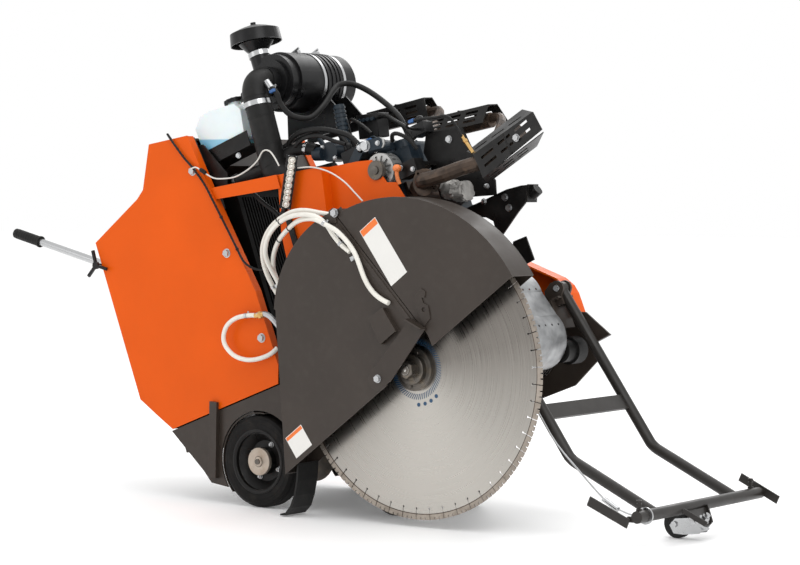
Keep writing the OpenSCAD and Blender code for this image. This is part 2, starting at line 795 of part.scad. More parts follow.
// Fold lines of the three shields, from the near side over the top to the far side
front_folds = [
  [[1090, 160, 545], [1297, 160, 585]], [[1129, 90, 548], [1376, 90, 606]],
  [[1113, 100, 629], [1359, 100, 667]], [[1060, 150, 659], [1277, 150, 733]]
];
middle_folds = [
  [[823, 290, 805], [1054, 290, 761]], [[844, 318, 856], [1075, 318, 812]],
  [[844, 364, 858], [1077, 364, 814]], [[835, 412, 808], [1066, 412, 764]]
];
rear_folds = [
  [[480, 506, 955], [715, 506, 912]], [[476, 520, 1029], [713, 520, 988]],
  [[476, 566, 1031], [713, 566, 990]], [[468, 610, 974], [704, 610, 932]]
];

module heat_shields() {
  color(black) on_chassis() {
    tunnel(front_folds, [2, 2, 1], 3);
    tunnel(middle_folds, [3, 1, 2], 3);
    tunnel(rear_folds, [3, 1, 2], 3);
    // Straps that hold the shields on the cans
    for (f = [front_folds, middle_folds, rear_folds]) {
      m = (f[1][0] + f[1][1]) / 2;
      q = (f[2][0] + f[2][1]) / 2;
      along(m, q - m) translate([0, 0, 2]) cylinder(r = 5, h = norm(q - m) - 4);
    }
  }
}

can_r2 = 28;

module exhaust_system() {
  color("#6b5a4a") on_chassis() {
    // Manifold along the front of the head, with its port flanges
    box([760, 205, 610], [772, 525, 672]);
    translate([812, 190, 634]) rotate([-90, 0, 0]) cylinder(r = 26, h = 330);
    for (i = [0 : 3]) translate([771, 240 + 85 * i, 640]) rotate([0, 90, 0]) cylinder(r = 18, h = 40);
    // Outlet flange, facing the right-hand side
    sheet(118, 130) difference() {
      union() {
        translate([896, 622]) circle(42);
        flat_2d([884, 654], [925, 592], 24);
      }
      for (p = [[884, 654], [925, 592]]) translate(p) circle(5);
    }
    hose([[812, 240, 634], [850, 216, 630], [884, 190, 624], [896, 160, 622], [896, 119, 622]], 22, 2, 12);
    // Pipe that sweeps forward into the first can
    hose([[896, 131, 622], [897, 112, 622], [906, 96, 621], [924, 86, 619], [955, 84, 613], [1000, 86, 608],
      [1050, 104, 608], [1104, 130, 606]], 23.5, 2, 12);
    along([1098, 134, 604], [177, 0, 34]) cylinder(r = can_r2, h = 181);
    // Second and third cans and the pipes that join the three
    along([862, 342, 806], [194, 0, -36]) cylinder(r = can_r2 - 4, h = 197);
    along([492, 543, 980], [208, 0, -38]) cylinder(r = can_r2 - 4, h = 211);
    hose([[1180, 140, 628], [1150, 180, 655], [1125, 240, 690], [1112, 300, 735], [1090, 335, 765],
      [1045, 342, 776]], 15, 2, 10);
    hose([[880, 342, 803], [840, 346, 808], [806, 366, 826], [780, 430, 862], [764, 500, 905],
      [745, 536, 932], [700, 543, 942]], 15, 2, 10);
  }
}

// ---------------------------------------------------------------- black brackets

module brackets() {
  color(black) on_chassis() {
    // Arm with the stop for the folded pointer frame
    sheet(316, 322) polygon([
      [860, 540], [954, 540], [1048, 541], [1104, 533], [1128, 526], [1100, 477], [1065, 460],
      [984, 414], [930, 300], [905, deck_top], [865, deck_top], [900, 330], [940, 420], [966, 446],
      [967, 466], [946, 486], [925, 495], [860, 500]
    ]);
    box([865, 280, deck_top], [905, 318, deck_top + 6]);
    flat_bar([1128, 528], [1103, 478], 5, 318, 372);
    // Rubber buffer on the arm's folded end
    translate([1112, 345, 498]) rotate([0, 72, 0]) cylinder(r = 18, h = 30);
    // Small bracket in front of the guard
    sheet(255, 261) polygon([
      [975, deck_top], [1030, 290], [1042, 345], [1055, 368], [1104, 367], [1108, 290], [1072, 287], [1005, deck_top]
    ]);
    box([945, 255, deck_top], [985, 310, deck_top + 6]);
    box([945, 255, deck_top], [1005, 261, deck_top + 10]);
    // Exhaust support plates on the block
    sheet(252, 258) polygon([
      [848, 560], [844, 640], [844, 700], [834, 745], [865, 800], [1000, 766], [1010, 700], [1060, 567], [1047, 523],
      [946, 554], [860, 520], [780, 500], [780, 556]
    ]);
    box([802, 136, 666], [872, 184, 712]);
    box([834, 184, 690], [872, 252, 702]);
    // Cradle of the coolant bottle, on the console
    box([70, 112, 990], [286, 116, 1034]);
    box([66, 112, 990], [70, 116, 1060]);
    box([70, 112, 984], [286, 210, 990]);
    box([70, 206, 990], [286, 210, 1060]);
    sheet(100, 104) polygon([[92, 985], [76, 1060], [104, 1056], [170, 930], [150, 880], [118, 880]]);
    box([92, 104, 986], [104, 112, 1050]);
    // Stay of the work light
    box([380, 60, 560], [401, 66, 700]);
    box([380, 66, 560], [401, cover_y, 600]);
    at_xz(light_at[0] - 104 * sin(light_lean), light_at[1] - 104 * cos(light_lean)) {
      y_rod(10.5, 60, 66);
      y_rod(5, 39, 61);
    }
  }
}

// ---------------------------------------------------------------- blade and spindle

core_r = blade_d / 2 - 16;
slot_w = 3.2;

function polar(r, a) = r * [cos(a), sin(a)];
function slot_half(r) = asin(slot_w / 2 / r);
// Core outline: a smooth rim with narrow radial slots that end in a wider eye
function core_points() = [
  for (i = [0 : segments - 1]) let (a = 360 * i / segments, b = 360 / segments)
    each [
      polar(core_r, a + slot_half(core_r)), polar(core_r, a + b * 0.25), polar(core_r, a + b * 0.5),
      polar(core_r, a + b * 0.75), polar(core_r, a + b - slot_half(core_r)),
      polar(core_r - 14, a + b - slot_half(core_r)), polar(core_r - 15, a + b - 0.36),
      polar(core_r - 18, a + b - 0.5), polar(core_r - 21, a + b - 0.3),
      polar(core_r - 21, a + b + 0.3), polar(core_r - 18, a + b + 0.5),
      polar(core_r - 15, a + b + 0.36), polar(core_r - 14, a + b + slot_half(core_r))
    ]
];

module blade_core() {
  color(steel) on_guard() sheet(-core_t / 2, core_t / 2) difference() {
    polygon(core_points());
    circle(shaft_r + 0.4);
    translate([0, 42]) circle(9);
  }
}

// One segment: its teeth are parted by square gullets
gullet_w = 4.6;
gullet_h = 7.5;

function segment_points(a, b) = let (r = blade_d / 2, step = (b - a) / teeth, g = asin(gullet_w / 2 / r))
  concat(
    [polar(core_r, a), polar(r, a)],
    [for (k = [1 : teeth - 1]) each [
      polar(r, a + step * k - g - step * 0.4), polar(r, a + step * k - g), polar(r - gullet_h, a + step * k - g),
      polar(r - gullet_h, a + step * k + g), polar(r, a + step * k + g)]],
    [polar(r, b - step * 0.4), polar(r, b), polar(core_r, b), polar(core_r, (a + b) / 2)]);

module blade_segments() {
  half = slot_half(core_r);
  color("#a39c92") on_guard() for (i = [0 : segments - 1])
    sheet(-core_t / 2 - 0.8, core_t / 2 + 0.8)
      polygon(segment_points(360 * i / segments + half, 360 * (i + 1) / segments - half));
}

module blade_flanges() {
  color(steel) on_guard() {
    difference() {
      union() {
        y_rod(66, -16, -core_t / 2);
        y_rod(46, -32, -16);
      }
      y_rod(shaft_r + fit, -40, 5);
    }
    y_tube(66, shaft_r + fit, core_t / 2, 20);
    y_tube(40, shaft_r + fit, 20, 34);
  }
}

module arbor_nut() {
  color(zinc) on_guard() difference() {
    union() {
      translate([0, -58, 0]) rotate([-90, 0, 0]) cylinder(r = 27, h = 23, $fn = 6);
      y_rod(29, -35, -32);
    }
    y_rod(15, -60, -30);
  }
}

module blade_shaft() {
  color(steel) on_chassis() at_xz(shaft_x, shaft_z) {
    y_rod(shaft_r, -32, 660);
    y_rod(14.9, -62, -32);
    // Four-groove driven sheave
    difference() {
      y_rod(72, 576, 642);
      for (i = [0 : 3]) y_tube(76, 62, 582 + 15 * i, 590 + 15 * i);
    }
  }
}

module bearing_housing(y0) {
  difference() {
    union() {
      at_xz(shaft_x, shaft_z) y_rod(bearing_hole_r - 0.2, y0, y0 + 60);
      box([shaft_x - 70, y0 + 10, shaft_z], [shaft_x + 70, y0 + 50, deck_z - 0.2]);
    }
    at_xz(shaft_x, shaft_z) y_rod(shaft_r + fit, y0 - 10, y0 + 80);
  }
}

module shaft_bearings() {
  color(black) on_chassis() {
    bearing_housing(60);
    difference() {
      bearing_housing(506);
      box([shaft_x - 90, 568, 0], [shaft_x + 90, 600, 300]);
    }
  }
}

// ---------------------------------------------------------------- guard

guard_face = -68;
guard_back = guard_face + guard_w;
split_top = [67, 541];
split_low = [138, 35];
latch_at = [-87, 29];
hinge_at = [75, 532];

module rear_outline() {
  // Straight rear edge, round shoulder, then down the split line to the arbor notch
  polygon([[-576, -3], [-302, 432], [-40, 210], split_low, [132, -3]]);
  intersection() {
    translate([-40, 210]) circle(350);
    polygon([[-40, 210], [-302, 432], [-420, 620], [67, 700], split_top, split_low]);
  }
}

module front_outline() {
  intersection() {
    translate([-15, 25]) circle(510);
    polygon([split_top + [3, 0], [67, 700], [700, 700], [700, -3], [135, -3], split_low + [3, 0]]);
  }
}

module hinge_clear() {
  translate(hinge_at) circle(14);
}

module guard_rear() {
  t = guard_t;
  color(dark_grey) on_guard() {
    difference() {
      sheet(guard_face - t, guard_back) difference() {
        rear_outline();
        hinge_clear();
      }
      // The space in which the blade and its splash run
      sheet(guard_face, guard_back - t) {
        polygon([[-600, -30], [-576 + 5, -3], [-302 + 2.6, 432 - 1.6], [-40, 210], [170, 210], [170, -30]]);
        intersection() {
          translate([-40, 210]) circle(350 - t);
          polygon([[-40, 210], [-300, 430], [-420, 620], [200, 700], [200, 210]]);
        }
      }
      y_rod(74, guard_face - 20, guard_back + 20);
      box([-74, guard_face - 20, -80], [160, guard_back + 20, 0]);
      // Relief under the latch, where the arbor is reached
      sheet(guard_face - t - 1, guard_face + 1) polygon([[-50, 0], [20, 60], [150, 70], [150, -10]]);
    }
    // Pocket where the hoses enter, open at its lower edge
    difference() {
      sheet(guard_face - t - 18, guard_face - t) polygon([[-2, 194], [60, 188], [60, 104], [-12, 104]]);
      sheet(guard_face - t - 15, guard_face - t + 1) polygon([[2, 190], [56, 184], [56, 90], [-8, 90]]);
    }
    // Stiffening strip beside the split
    sheet(guard_face - t - 3, guard_face - t) polygon([[50, 500], [64, 498], [118, 110], [104, 110]]);
    // Hinge tab
    sheet(guard_face - t - 5, guard_face - t) polygon([[40, 520], [58, 552], [75, 550], [82, 540], [60, 505]]);
  }
}

module guard_front() {
  t = guard_t;
  color(dark_grey) on_guard() {
    difference() {
      sheet(guard_face - t, guard_back) difference() {
        front_outline();
        hinge_clear();
      }
      sheet(guard_face, guard_back - t) intersection() {
        translate([-15, 25]) circle(510 - t);
        translate([-100, -40]) square([900, 900]);
      }
      y_rod(74, guard_face - 20, guard_back + 20);
      box([-74, guard_face - 20, -80], [74, guard_back + 20, 0]);
    }
    // Hook plate that the latch closes behind
    sheet(guard_face - t - 4, guard_face - t) difference() {
      polygon([[148, 60], [160, 150], [205, 158], [212, 140], [200, 128], [190, 134], [186, 118], [196, 100], [180, 66]]);
      translate([176, 100]) circle(8);
    }
    // Hinge knuckle, inside the round gap of both halves
    at_xz(hinge_at[0], hinge_at[1]) difference() {
      union() {
        y_rod(13.2, guard_face - t, guard_back);
        box([6, guard_face - t, -10], [26, guard_face, 4]);
        box([6, guard_back - t, -10], [26, guard_back, 4]);
      }
      y_rod(6 + fit, guard_face - 20, guard_back + 20);
    }
  }
}

module guard_latch() {
  color(dark_grey) on_guard() {
    y0 = guard_face - guard_t - 9;
    difference() {
      union() {
        sheet(y0, y0 + 4) {
          translate(latch_at) circle(36);
          polygon([[-112, 3], [-72, 64], [120, 106], [150, 50], [-52, -4]]);
        }
        // Bent thumb tab at the free end
        flat_bar([119, 106], [149, 51], 4, y0 - 26, y0 + 4);
      }
      at_xz(latch_at[0], latch_at[1]) y_rod(6 + fit, y0 - 5, y0 + 10);
    }
  }
}

// ---------------------------------------------------------------- hoses on the guard

module water_hoses() {
  color("#ece8e0") on_chassis() {
    // Inner loop, which runs down beside the split to the pocket in the guard
    hose([[295, 52, 470], [295, 40, 515], [308, 22, 552], [344, 0, 588], [400, -24, 616], [470, -48, 630],
      [535, -70, 632], [598, -85, 614], [648, -102, 580], [690, -98, 535], [715, -85, 465], [724, -84, 375],
      [738, -84, 330], [760, -84, 298], [785, -84, 275]], 7.5, 2, 8);
    // Outer loop, up from behind the guard to the bolt at the top of the split
    hose([[270, 62, 460], [264, 50, 505], [270, 30, 552], [286, 12, 592], [316, -6, 628], [366, -22, 658],
      [430, -38, 672], [500, -52, 672], [560, -62, 656], [612, -56, 628], [634, -46, 615]], 7.5, 2, 8);
    // Second outer loop, just behind the first, which ends under the inner one
    hose([[306, 42, 430], [306, 30, 500], [308, 8, 556], [322, -14, 596], [356, -32, 628], [404, -50, 648],
      [458, -66, 656], [514, -84, 652], [566, -90, 640], [612, -88, 618], [640, -83, 582], [656, -82, 538],
      [672, -82, 505], [698, -82, 470]], 7.5, 2, 8);
    // Feed from the console's fitting
    hose([[205, 58, 318], [178, 45, 306], [134, 36, 306], [90, 30, 318], [48, 28, 346], [24, 28, 386],
      [26, 28, 418], [52, 28, 446], [92, 30, 457], [136, 34, 452], [184, 38, 437]], 7.5, 2, 8);
  }
}

// ---------------------------------------------------------------- front of the machine

module belt_cover() {
  color(orange) on_chassis() difference() {
    sheet(602, 658) polygon([
      [560, 482], [640, 450], [835, 370], [944, 278], [967, 245], [975, 215], [977, 146], [970, 140], [640, 206.3]
    ]);
    sheet(600, 655) polygon([
      [540, 482], [638, 445], [830, 366], [940, 274], [963, 243], [972, 214], [972, 120], [600, 170]
    ]);
  }
}

module belt_guard() {
  color(zinc) on_chassis() difference() {
    sheet(340, 500) difference() {
      union() {
        translate([843, 233]) circle(100);
        translate([886, 98]) circle(99);
        polygon([[943, 235], [985, 105], [880, 100], [850, 230]]);
      }
      union() {
        translate([843, 233]) circle(97);
        translate([886, 98]) circle(96);
        polygon([[940, 235], [982, 105], [880, 100], [850, 230]]);
      }
      // The band covers only the front half
      translate([600, -100]) square([235, 600]);
    }
    for (i = [0 : 3], a = [10, 40]) translate([850, 365 + 36 * i, 230]) rotate([0, -a, 0])
      translate([80, 0, 0]) rotate([0, 90, 0]) cylinder(r = 4, h = 40);
    for (i = [0 : 3]) translate([880, 365 + 36 * i, 100]) rotate([0, -8, 0])
      translate([80, 0, 0]) rotate([0, 90, 0]) cylinder(r = 4, h = 40);
  }
}

module front_roller() {
  color(rubber) on_chassis() at_xz(935, 39) {
    y_tube(44, 10, 556, 606);
    y_tube(36, 10, 510, 556);
  }
}

// ---------------------------------------------------------------- front axle and lift

front_axle = [418, -210];
front_wheel_w = 60;

module front_axle_frame() {
  color(dark_grey) on_chassis() {
    difference() {
      union() {
        at_xz(pivot_front[0], pivot_front[1]) y_rod(26, 182, 538);
        for (y = [236, 474]) flat_bar(pivot_front, front_axle, 46, y, y + 10);
        at_xz(front_axle[0], front_axle[1]) y_rod(24, 231, 489);
      }
      at_xz(front_axle[0], front_axle[1]) y_rod(12.5, 100, 600);
    }
    at_xz(pivot_front[0], pivot_front[1]) y_rod(12, 165, 555);
    at_xz(front_axle[0], front_axle[1]) y_rod(12.5, 160, 560);
    // Lugs for the lift rod
    for (y = [340, 372]) sheet(y, y + 8) difference() {
      polygon([[400, -225], [440, -225], [520, -110], [500, -95], [430, -150]]);
      translate([490, -118]) circle(8);
    }
  }
}

module front_wheel(y0) {
  color(rubber) on_chassis() at_xz(front_axle[0], front_axle[1]) {
    difference() {
      y_rod(front_wheel_d / 2, y0, y0 + front_wheel_w);
      y_rod(12.5 + fit, y0 - 1, y0 + front_wheel_w + 1);
      y_tube(72, 40, y0 - 1, y0 + 8);
      y_tube(72, 40, y0 + front_wheel_w - 8, y0 + front_wheel_w + 1);
    }
  }
}

module front_wheel_right() { front_wheel(170); }
module front_wheel_left() { front_wheel(2 * mid_y - 170 - front_wheel_w); }

lift_top = [300, 150];
lift_low = [490, -118];

// Frame with +Z from the cylinder's upper pin towards its lower pin
module lift_axis() {
  d = lift_low - lift_top;
  translate([lift_top[0], mid_y, lift_top[1]]) rotate([0, 90 - atan2(d[1], d[0]), 0]) children();
}

module lift_cylinder() {
  color(black) on_chassis() {
    lift_axis() difference() {
      union() {
        translate([0, 0, 16]) cylinder(r = 24, h = 184);
        rotate([90, 0, 0]) translate([0, 0, -12]) cylinder(r = 18, h = 24);
        translate([-8, -12, 0]) cube([16, 24, 20]);
      }
      translate([0, 0, 30]) cylinder(r = 12 + fit, h = 200);
      rotate([90, 0, 0]) translate([0, 0, -20]) cylinder(r = 8 + fit, h = 40);
    }
  }
}

module lift_rod() {
  color(zinc) on_chassis() lift_axis() difference() {
    union() {
      translate([0, 0, 124]) cylinder(r = 12, h = norm(lift_low - lift_top) - 138);
      translate([0, 0, norm(lift_low - lift_top)]) rotate([90, 0, 0]) translate([0, 0, -10])
        cylinder(r = 17, h = 20);
    }
    translate([0, 0, norm(lift_low - lift_top)]) rotate([90, 0, 0]) translate([0, 0, -20])
      cylinder(r = 8.4, h = 40);
  }
}

// ---------------------------------------------------------------- rear wheels

wheel_y = 50;

module rear_axle() {
  color(steel) on_chassis() {
    y_rod(19, wheel_y + 14, 2 * mid_y - wheel_y - 14);
    // Hub plates outside the rims, and the final-drive sprocket
    for (s = [0, 1]) translate([0, s * 2 * mid_y, 0]) mirror([0, s, 0]) {
      y_rod(28, wheel_y + 6, wheel_y + 14);
      y_rod(9, wheel_y - 2, wheel_y + 6);
    }
    y_tube(90, 19, 330, 338);
  }
}

module rear_rim() {
  difference() {
    y_rod(104, wheel_y + 3, wheel_y + rear_wheel_w - 3);
    y_rod(92, wheel_y, wheel_y + 40);
    y_rod(80, wheel_y + 40, wheel_y + 44);
    y_rod(92, wheel_y + 52, wheel_y + rear_wheel_w);
    y_rod(19 + fit, wheel_y, wheel_y + 90);
    for (i = [0 : 3]) rotate([0, 45 + 90 * i, 0]) translate([58, 0, 0]) y_rod(5, wheel_y, wheel_y + 90);
  }
  y_tube(44, 32, wheel_y + 20, wheel_y + 44);
}

module rear_rims() {
  color(black) on_chassis() {
    rear_rim();
    translate([0, 2 * mid_y, 0]) mirror([0, 1, 0]) rear_rim();
  }
}

module rear_tyre() {
  r = rear_wheel_d / 2;
  rotate([-90, 0, 0]) rotate_extrude($fn = 96) difference() {
    polygon([
      [104, wheel_y + 2], [120, wheel_y], [r - 12, wheel_y + 1], [r - 3, wheel_y + 8], [r, wheel_y + 18],
      [r, wheel_y + rear_wheel_w - 18], [r - 3, wheel_y + rear_wheel_w - 8],
      [r - 12, wheel_y + rear_wheel_w - 1], [120, wheel_y + rear_wheel_w], [104, wheel_y + rear_wheel_w - 2]
    ]);
    translate([126, wheel_y - 0.6]) square([3, 1.4]);
  }
}

module rear_tyres() {
  color(rubber) on_chassis() {
    rear_tyre();
    translate([0, 2 * mid_y, 0]) mirror([0, 1, 0]) rear_tyre();
  }
}

// ---------------------------------------------------------------- pointer frame

tube_r = 17;
cross_r = 18;
arm_y = [100, 561];
// Cross tube of the pointer frame, as row X and Z before the machine is centred
cross_at = [781, 95];
cross_y = [-2, 716];
pivot_row = [
  axle_x + pointer_pivot[0] * cos(pitch) - pointer_pivot[1] * sin(pitch),
  axle_z + pointer_pivot[0] * sin(pitch) + pointer_pivot[1] * cos(pitch)
];
// Centre line of each arm, from the pivot round its bend to the cross tube
arm_route = [pivot_row, [479, 249], [485, 241], [493, 234], [501, 228], [510, 223], cross_at];

// Caster on its sloping plate: pin position, slope of the plate, and the wheel's place
caster_pin = [826, 292, 57];
plate_slope = 48;
caster_r = 43;
caster_axle = [743, 292, caster_r];

module on_caster() {
  row() translate(caster_pin) rotate([0, 90 - plate_slope, 0]) children();
}

module pointer_frame() {
  color(dark_grey) {
    row() difference() {
      union() {
        for (y = arm_y) {
          hose([for (p = arm_route) [p[0], y, p[1]]], tube_r, 1, 24);
          translate([pivot_row[0], y - 13, pivot_row[1]]) rotate([-90, 0, 0]) cylinder(r = tube_r + 3, h = 26);
        }
        // Cross tube and the flat brace between the arms
        translate([cross_at[0], cross_y[0], cross_at[1]]) rotate([-90, 0, 0])
          cylinder(r = cross_r, h = cross_y[1] - cross_y[0]);
        flat_bar([381, 385], [410, 345], 10, arm_y[0], arm_y[1]);
        // Sighting flags, each on a short rod from the tube's end
        translate([0, -8, 0]) flat_bar([622, 131], [756, 75], 29, 0, 4);
        translate([751, -7, 86]) rotate([-90, 0, 0]) cylinder(r = 7, h = 12);
        box([748, 0, 79], [781, 8, 95]);
        flat_bar([712, 138], [844, 76], 26, 714, 718);
        // Studs with their nuts
        for (y = [24, 672]) translate([cross_at[0] - 8, y, cross_at[1] + tube_r - 4]) {
          cylinder(r = 9, h = 8);
          cylinder(r = 5, h = 34);
          translate([0, 0, 14]) cylinder(r = 9, h = 9, $fn = 6);
          translate([0, 0, 25]) cylinder(r = 9, h = 8, $fn = 6);
        }
      }
      for (y = arm_y) translate([pivot_row[0], y - 30, pivot_row[1]]) rotate([-90, 0, 0])
        cylinder(r = 6 + fit, h = 60);
    }
    // Sloping plate for the caster, with folded edges that run back to the tube
    on_caster() difference() {
      union() {
        linear_extrude(5) polygon([[-44, -69], [-44, 69], [20, 17], [20, -17]]);
        for (s = [-1, 1]) linear_extrude(16)
          polygon([[-44, s * 69], [-44, s * 64], [18, s * 13], [20, s * 17]]);
      }
      translate([0, 0, -5]) cylinder(r = 8 + fit, h = 20);
    }
  }
}

module caster_fork() {
  color(zinc) {
    on_caster() {
      translate([0, 0, -12]) cylinder(r = 25, h = 11.7);
      translate([0, 0, -2]) cylinder(r = 8, h = 30);
      translate([0, 0, 5.3]) cylinder(r = 17, h = 2.5);
      translate([0, 0, 7.8]) cylinder(r = 13, h = 10, $fn = 6);
      translate([-26, -22, -18]) cube([50, 44, 7]);
      for (s = [-1, 1]) translate([0, s * 20 - 2, 0]) sheet(0, 4)
        polygon([[24, -11], [-26, -11], [-62, -52], [-62, -80], [-36, -88], [-10, -66], [24, -26]]);
    }
    row() translate([caster_axle[0], caster_axle[1], caster_axle[2]]) {
      y_rod(5, -27, 27);
      for (s = [-1, 1]) translate([0, s * 25, 0]) y_rod(9, -3, 3);
    }
  }
}

module caster_wheel() {
  color(rubber) row() translate(caster_axle) rotate([-90, 0, 0]) rotate_extrude() polygon([
    [5 + fit, -16], [22, -16], [25, -12], [40, -12], [caster_r, -9], [caster_r, 9], [40, 12], [25, 12],
    [22, 16], [5 + fit, 16]
  ]);
}

rope_route = [
  [340, 76, 446], [400, 70, 362], [467, 62, 279], [553, 50, 207], [610, 42, 161], [648, 37, 133]
];

module pointer_cable() {
  color(zinc) row() {
    hose(rope_route, 3, 3, 8);
    along([645, 37, 134], [56, -10, -26]) cylinder(r = 8, h = 62);
    // Eye of the rope, round the cross tube
    translate([cross_at[0], 46, cross_at[1]]) y_tube(cross_r + 7, cross_r + 0.2, -3, 3);
    hose([[696, 30, 110], [722, 36, 100], [744, 43, 92], [760, 46, 82]], 3, 2, 8);
  }
}

// ---------------------------------------------------------------- small parts

// Curved rubber flap that hangs behind the blade and trails on the floor
module mud_flap() {
  color(rubber) row() sheet(-62, 36) polygon([
    [-420, 172], [-424, 120], [-434, 72], [-449, 36], [-470, 12], [-490, 9],
    [-490, 3], [-467, 5], [-443, 30], [-428, 70], [-418, 118], [-414, 172]
  ]);
}

light_at = [444, 795];
light_lean = 31;

module on_light() {
  translate([light_at[0], 48, light_at[1]]) rotate([0, light_lean, 0]) children();
}

module work_light() {
  color(black) on_chassis() on_light() {
    difference() {
      box([-16, -18.5, -86], [16, 18.5, 86]);
      box([12, -14, -80], [18, 14, 80]);
    }
    // Cooling fins along the back
    for (i = [0 : 13]) box([-26, -16, -82 + 12.6 * i], [-16, 16, -78 + 12.6 * i]);
    // Hinge eye at the foot
    translate([0, 0, -104]) difference() {
      union() {
        y_rod(11, -8, 8);
        box([-7, -8, 0], [7, 8, 19]);
      }
      y_rod(5 + fit, -10, 10);
    }
  }
}

module light_lens() {
  color("#e9e4dc") on_chassis() on_light() {
    box([12.2, -13.8, -79.8], [15, 13.8, 79.8]);
    for (i = [0 : 5]) translate([15, 0, -66 + 26.4 * i]) rotate([0, 90, 0]) cylinder(r1 = 10, r2 = 6, h = 3);
  }
}

module fasteners() {
  color(zinc) on_chassis() {
    for (p = [[67, 976], [111, 674], [154, 369]]) translate([p[0], panel_y, p[1]]) bolt_head(13);
    for (p = [[1035, 520], [1038, 484]]) translate([p[0], 316, p[1]]) bolt_head(11);
    for (p = [[65, 1050], [215, 971]]) translate([p[0] + 8, p[0] < 100 ? 112 : 118, p[1]]) bolt_head(9);
    translate([725, 119, 808]) bolt_head(17);
    translate([942, 252, 748]) bolt_head(11);
    translate([1283, 90, 616]) bolt_head(11);
    // Bands round the canister, with their latches on top
    at_xz(can_x, can_z) for (y = [346, 446]) {
      y_tube(can_r + 2.5, can_r, y, y + 12);
      box([-14, y - 2, can_r + 2], [22, y + 14, can_r + 12]);
      along([-14, y + 6, can_r + 12], [36, 0, 6]) cylinder(r = 4, h = 40);
    }
    // Band clamps on the inlet neck and at the top of the elbow
    translate([cap_x, cap_y, 1274]) difference() {
      cylinder(r = 36, h = 16);
      translate([0, 0, -1]) cylinder(r = 33, h = 20);
    }
    along([can_x - 5, 94, 1080], [21, 0, 289]) difference() {
      cylinder(r = 46.5, h = 16);
      translate([0, 0, -1]) cylinder(r = 43.5, h = 20);
    }
    // Elbow fitting of the feed hose, and the breather's outlet
    hose([[178, 37, 439], [205, 41, 434], [222, 44, 420], [232, 52, 395], [236, panel_y, 378]], 9.5, 2, 8);
    along([430, 104, 1145], [10, -4, -20]) cylinder(r = 11, h = 34);
    // Pivot bolts of the pointer frame
    for (y = [74, 535]) translate([pointer_pivot[0], y, pointer_pivot[1]]) {
      bolt_head(10);
      y_rod(6, 0, 52);
      translate([0, 52, 0]) rotate([-90, 0, 0]) cylinder(r = 10, h = 8, $fn = 6);
    }
    // Guard hinge bolt, latch pivot and the hose clips on the guard's face
    on_guard_only() {
      translate([hinge_at[0], guard_face - guard_t - 5, hinge_at[1]]) {
        bolt_head(13);
        y_rod(6, 0, guard_w + 14);
      }
      translate([latch_at[0], guard_face - guard_t - 9.3, latch_at[1]]) {
        bolt_head(12);
        y_rod(6, 0, 14);
      }
    }
    // Pin of the lift cylinder's upper eye
    at_xz(lift_top[0], lift_top[1]) y_rod(8, 340, 380);
  }
}

main_frame();
console_panels();
console_body();
control_face();
estop_button();
speed_lever();
engine_side_cover();
engine_block();
cylinder_head();
exhaust_system();
heat_shields();
air_cleaner();
wiring();
coolant_bottle();
coolant_cap();
brackets();
radiator();
cooling_fan();
alternator();
crankshaft();
belts();
blade_shaft();
shaft_bearings();
blade_core();
blade_segments();
blade_flanges();
arbor_nut();
guard_rear();
guard_front();
guard_latch();
water_hoses();
engine_hoses();
belt_cover();
belt_guard();
front_roller();
front_axle_frame();
front_wheel_right();
front_wheel_left();
lift_cylinder();
lift_rod();
rear_axle();
rear_rims();
rear_tyres();
pointer_frame();
caster_fork();
caster_wheel();
pointer_cable();
handle_right();
handle_left();
grip_right();
grip_left();
knob_right();
knob_left();
work_light();
light_lens();
fuel_tank();
fuel_cap();
battery();
fasteners();
mud_flap();
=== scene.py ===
import json
import math
import random
import bpy
import bmesh
from mathutils import Matrix, Vector


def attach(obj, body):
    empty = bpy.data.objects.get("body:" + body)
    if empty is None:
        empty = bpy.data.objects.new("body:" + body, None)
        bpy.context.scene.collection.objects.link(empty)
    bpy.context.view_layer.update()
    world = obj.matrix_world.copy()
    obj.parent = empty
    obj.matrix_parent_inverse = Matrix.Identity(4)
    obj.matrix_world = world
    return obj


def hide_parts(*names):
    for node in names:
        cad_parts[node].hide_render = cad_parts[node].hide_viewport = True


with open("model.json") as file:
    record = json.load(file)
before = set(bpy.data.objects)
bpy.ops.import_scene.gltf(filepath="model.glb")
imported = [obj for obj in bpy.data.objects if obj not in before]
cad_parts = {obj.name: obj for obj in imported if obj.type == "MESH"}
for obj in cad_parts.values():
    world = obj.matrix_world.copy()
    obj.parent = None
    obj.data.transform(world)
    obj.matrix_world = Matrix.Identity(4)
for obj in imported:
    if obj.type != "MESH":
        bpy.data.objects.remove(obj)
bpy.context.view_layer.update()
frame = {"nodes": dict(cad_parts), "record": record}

random.seed(7)

# ------------------------------------------------------------------ places, in millimetres
CENTRE = (480.0, -304.0)
PITCH = math.radians(20.7)
GUARD_TILT = math.radians(15.9)
MM = 0.001
ROW = Matrix.Scale(MM, 4) @ Matrix.Translation((CENTRE[0], CENTRE[1], 0))
CHASSIS = ROW @ Matrix.Translation((-680, 0, 149)) @ Matrix.Rotation(-PITCH, 4, "Y")
GUARD = CHASSIS @ Matrix.Translation((754, 0, 71)) @ Matrix.Rotation(-GUARD_TILT, 4, "Y")


# ------------------------------------------------------------------ camera, floor and light
def make_camera():
    cam = bpy.data.objects.new("camera", bpy.data.cameras.new("camera"))
    cam.data.lens, cam.data.sensor_width = 108.0, 36.0
    cam.data.clip_end = 60
    az, el = math.radians(37.288), math.radians(2.194)
    view = Vector((-math.sin(az) * math.cos(el), math.cos(az) * math.cos(el), -math.sin(el)))
    cam.location = ROW @ Vector((4352.3, -5799.8, 1022.0))
    cam.rotation_euler = view.to_track_quat("-Z", "Y").to_euler()
    bpy.context.scene.collection.objects.link(cam)
    bpy.context.scene.camera = cam


